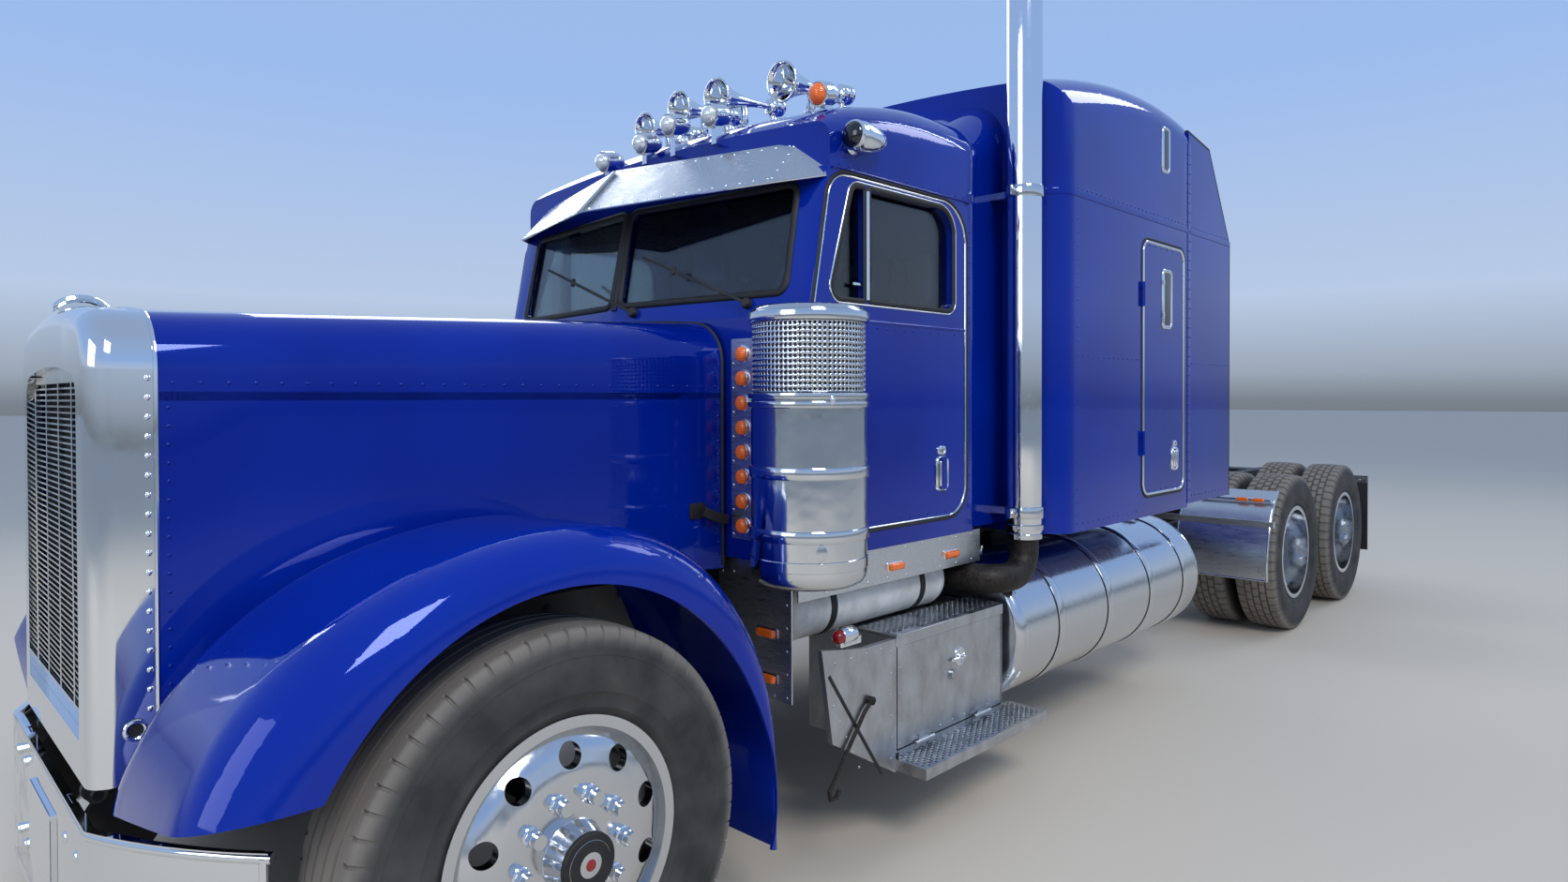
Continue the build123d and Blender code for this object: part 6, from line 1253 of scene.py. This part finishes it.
# Tail lamps in the end crossmember
tailPlaces = [(x, 4.387, 0.865) for x in (0.205, 0.325)]
tailLens = [(0.050, 0.000), (0.050, 0.010), (0.046, 0.015), (0.030, 0.018), (0.0002, 0.0195)]
tailRim = [(0.058, -0.002), (0.058, 0.006), (0.054, 0.011), (0.050, 0.011), (0.049, 0.006)]
putPair("tail_lamp_lenses", repeated(turnOutline(tailLens, 36), tailPlaces, yAxis), "amber_lens",
        material=redAcrylic)
putPair("tail_lamp_rims", repeated(turnOutline(tailRim, 36), tailPlaces, yAxis), "flap_rubber")
print("flank fittings made")


# Inside the cab: seats with padded cushions and the instrument panel

seat = {"x": (0.480, -0.480), "cushion": (0.520, 0.540, 0.140), "cushionCentre": (-1.780, 1.520), "backWidth": 0.490,
        "backThickness": 0.125, "backFoot": (-1.590, 1.560), "backTop": (-1.530, 2.265), "mostMove": 0.012}


def padForm(width, depth, height):
    # closed crowned form: a flat grid on each face of a box, drawn in by (|x|^5 + |y|^5 + |z|^3)^0.205
    points, faces = boxShape((1.0, 1.0, 1.0))
    mesh = bpy.data.meshes.new("padForm")
    mesh.from_pydata((points * 2).tolist(), [], [list(map(int, face)) for face in faces])
    form = bmesh.new()
    form.from_mesh(mesh)
    bmesh.ops.recalc_face_normals(form, faces=form.faces)
    bmesh.ops.subdivide_edges(form, edges=form.edges, cuts=13, use_grid_fill=True)
    flat = np.array([v.co for v in form.verts])
    reach = (np.abs(flat[:, 0]) ** 5 + np.abs(flat[:, 1]) ** 5 + np.abs(flat[:, 2]) ** 3) ** 0.25
    flat = flat / np.maximum(reach, 1e-6)[:, None] ** 0.82
    flat /= np.abs(flat).max(axis=0)
    flat *= np.array([width, depth, height]) / 2
    for vertex, co in zip(form.verts, flat):
        vertex.co = co
    form.to_mesh(mesh)
    form.free()
    return mesh


clothSettings = {"use_pressure": True, "uniform_pressure_force": 4, "tension_stiffness": 30,
                 "compression_stiffness": 12, "bending_stiffness": 6}


def settlePad(name, size):
    # cloth under slight air pressure from the inside: it swells, drags and creases a little
    mesh = padForm(size[0] - 0.012, size[1] - 0.012, size[2] - 0.018)
    pad = bpy.data.objects.new(name + "Trial", mesh)
    bpy.context.scene.collection.objects.link(pad)
    bpy.context.view_layer.objects.active = pad
    cloth = pad.modifiers.new("cloth", "CLOTH")
    for key, value in clothSettings.items():
        setattr(cloth.settings, key, value)
    cloth.settings.effector_weights.gravity = 0
    cloth.point_cache.frame_end = 20
    before = np.array([v.co for v in mesh.vertices])
    for step in range(1, 21):
        bpy.context.scene.frame_set(step)
    settled = pad.evaluated_get(bpy.context.evaluated_depsgraph_get())
    move = np.array([v.co for v in settled.data.vertices]) - before
    moved = np.linalg.norm(move, axis=1, keepdims=True)
    after = before + move * np.minimum(1, seat["mostMove"] / np.maximum(moved, 1e-9))
    bpy.context.scene.frame_set(1)
    bpy.data.objects.remove(pad)
    for vertex, co in zip(mesh.vertices, after):
        vertex.co = co
    mesh.update()
    return mesh


def putPad(name, size, place, lean):
    mesh = settlePad(name, size)
    points = np.array([v.co for v in mesh.vertices])
    faces = [list(polygon.vertices) for polygon in mesh.polygons]
    c, s = cos(lean), sin(lean)
    points = points @ np.array([[1, 0, 0], [0, c, s], [0, -s, c]])
    piece = putPiece(name, joined([(points + [x, *place], faces) for x in seat["x"]]), "seat_cloth")
    return piece


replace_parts(putPad("seat_cushions", seat["cushion"], seat["cushionCentre"], 0.03), "seats")
backFoot, backTop = np.array(seat["backFoot"]), np.array(seat["backTop"])
backRun = backTop - backFoot
putPad("seat_backs", (seat["backWidth"], seat["backThickness"], hypot(*backRun)), (backFoot + backTop) / 2,
       -atan2(*backRun))
print("seat pads settled")
# piping round the cushions, and under them a pan on a rubber bellows on a foot
pipeLoop = roundedBox(0.505, 0.525, 0.09, 8)
pipes, stands = [], []
bellows = [(0.0002, 0.045)] + [(0.190 + 0.012 * cos(2 * pi * k / 3), 0.05 + 0.012 * k) for k in range(19)]
foot = boxShape((0.38, 0.40, 0.330), 0.020)
seatY = seat["cushionCentre"][0]
for x in seat["x"]:
    path = np.column_stack([pipeLoop[:, 0] + x, pipeLoop[:, 1] + seatY, np.full(len(pipeLoop), 1.562)])
    pipes.append(alongPath(path, ring(0.0055, 8), zAxis, closed=True))
    stands += [setAt((foot[0] * [1, 1, 0.25], foot[1]), (x, seatY, 1.165)),
               turned(bellows + [(0.0002, 0.290)], 32, (x, seatY, 1.150)),
               block((0.46, 0.46, 0.030), 0.010, (x, seatY, 1.450))]
putPiece("seat_piping", joined(pipes), "cab_trim")
putPiece("seat_pedestals", joined(stands), "cab_trim")

# instrument panel: two rows of bezelled gauges on the slope that faces the driver
gaugeRim = [(0.040, -0.002), (0.040, 0.004), (0.037, 0.007), (0.033, 0.006), (0.032, 0.001)]
gaugeFace = [(0.033, 0.0005), (0.016, 0.0008), (0.0002, 0.0010)]
gauge = {"rows": (1.850, 1.758), "x": (0.20, 0.76), "count": 6, "slope": (0, 0.9876, 0.1580)}
gaugePlaces = [(x, frontAxleY + 1.330 + (1.890 - z) * 0.16 + 0.001, z) for z in gauge["rows"]
               for x in np.linspace(*gauge["x"], gauge["count"])]
putPiece("gauge_rims", repeated(turnOutline(gaugeRim, 28), gaugePlaces, gauge["slope"]), "chrome_plate")
putPiece("gauge_faces", repeated(turnOutline(gaugeFace, 28), gaugePlaces, gauge["slope"]), "window_glass",
         material=smokedAcrylic)
print("cab inside made")


# Chassis: bolt heads along both rails, spring clamps on the front axle, strips on the flaps' hangers

railPlaces = [(0.432, y, z) for y in np.arange(-4.05, 4.25, 0.29) for z in (0.775, 0.955)]
putPair("rail_bolts", repeated(boltShape(0.011), railPlaces, xAxis), "frame_black")
legs = [(0.345, 0), (0.345, 0.02), (0.355, 0.205), (0.375, 0.226), (0.412, 0.226), (0.432, 0.205), (0.442, 0.02),
        (0.442, 0)]
clamps = [alongPath([(x, frontAxleY + y * 0.66, 0.372 + z) for x, z in legs], ring(0.009, 8), yAxis)
          for y in (-0.105, 0.105)]
putPair("spring_clamps", joined(clamps), "frame_black")
strips = [block((0.600, 0.004, 0.050), 0.0012, (0.885, 4.4345, 0.925)),
          repeated(boltShape(0.007), [(x, 4.4325, 0.925) for x in (0.64, 0.80, 0.97, 1.13)], forwards)]
putPair("flap_strips", joined(strips), "stainless_sheet")
print("chassis fastenings made")


# Camera, floor and light

cameraAt = {"place": (3.1016, -4.8164, 1.6491), "yaw": 45.969, "pitch": -0.6566, "roll": -0.1418,
            "lens": 21.162, "shiftY": -0.0207}
camera = bpy.data.objects.new("camera", bpy.data.cameras.new("camera"))
bpy.context.scene.collection.objects.link(camera)
bpy.context.scene.camera = camera
camera.data.lens = cameraAt["lens"]
camera.data.sensor_width = 36
camera.data.shift_y = cameraAt["shiftY"]
yaw, pitch = radians(cameraAt["yaw"]), radians(cameraAt["pitch"])
forward = Vector((-cos(yaw) * cos(pitch), sin(yaw) * cos(pitch), sin(pitch)))
camera.matrix_world = (
    Matrix.Translation(cameraAt["place"]) @ forward.to_track_quat("-Z", "Y").to_matrix().to_4x4()
    @ Matrix.Rotation(radians(cameraAt["roll"]), 4, "Z")
)

floorMesh = bpy.data.meshes.new("floor")
reach = 120.0
floorMesh.from_pydata([(-reach, -reach, 0), (reach, -reach, 0), (reach, reach, 0), (-reach, reach, 0)], [],
                      [(0, 1, 2, 3)])
floor = bpy.data.objects.new("floor", floorMesh)
bpy.context.scene.collection.objects.link(floor)
floorMesh.materials.append(makeFinish("paleStudioFloor", {"Base Color": "#d2c6b3", "Roughness": 0.8}))

world = bpy.data.worlds.new("studio")
bpy.context.scene.world = world
world.use_nodes = True
sky = world.node_tree
sky.nodes.clear()
skyPlace = addNode(sky, "ShaderNodeTexCoord")
skyParts = addNode(sky, "ShaderNodeSeparateXYZ", links={"Vector": skyPlace.outputs["Generated"]})
skyRise = spreadTo(sky, skyParts.outputs["Z"], 0, 1, -0.05, 1.0)
# one plain backdrop for every ray: grey at the horizon, where the floor ends, pale above it, blue overhead
skyStops = [(0.0, "#6c727a"), (0.044, "#79818b"), (0.070, "#9ba7b6"), (0.14, "#b9cbe5"), (0.34, "#9cbcee"),
            (1.0, "#9db2d2")]
skyRamp = addNode(sky, "ShaderNodeValToRGB", links={"Fac": skyRise})
while len(skyRamp.color_ramp.elements) < len(skyStops):
    skyRamp.color_ramp.elements.new(0.5)
for element, (position, colour) in zip(skyRamp.color_ramp.elements, skyStops):
    element.position = position
    element.color = fromHex(colour)
skyLight = addNode(sky, "ShaderNodeBackground", values={"Strength": 1.0}, links={"Color": skyRamp.outputs["Color"]})
addNode(sky, "ShaderNodeOutputWorld", links={"Surface": skyLight.outputs["Background"]})

# columns: name, place, size, power, aimed at
lampTable = [
    ("keySoftbox", (8.5, -6.0, 9.5), 4.0, 700, (0, -1.0, 1.2)),
    ("frontSoftbox", (1.5, -13.0, 5.0), 5.0, 220, (0, -3.0, 1.2)),
    ("rearSoftbox", (5.0, 11.0, 12.0), 5.0, 300, (0, 2.0, 1.2)),
    ("farSoftbox", (-8.0, 1.0, 7.0), 5.0, 240, (0, 0, 1.2)),
]
for name, place, size, power, target in lampTable:
    data = bpy.data.lights.new(name, "AREA")
    data.size = size
    data.energy = power
    lamp = bpy.data.objects.new(name, data)
    bpy.context.scene.collection.objects.link(lamp)
    lamp.location = place
    lamp.rotation_mode = "QUATERNION"
    lamp.rotation_quaternion = (Vector(target) - Vector(place)).to_track_quat("-Z", "Y")

bpy.context.scene.view_settings.view_transform = "Standard"
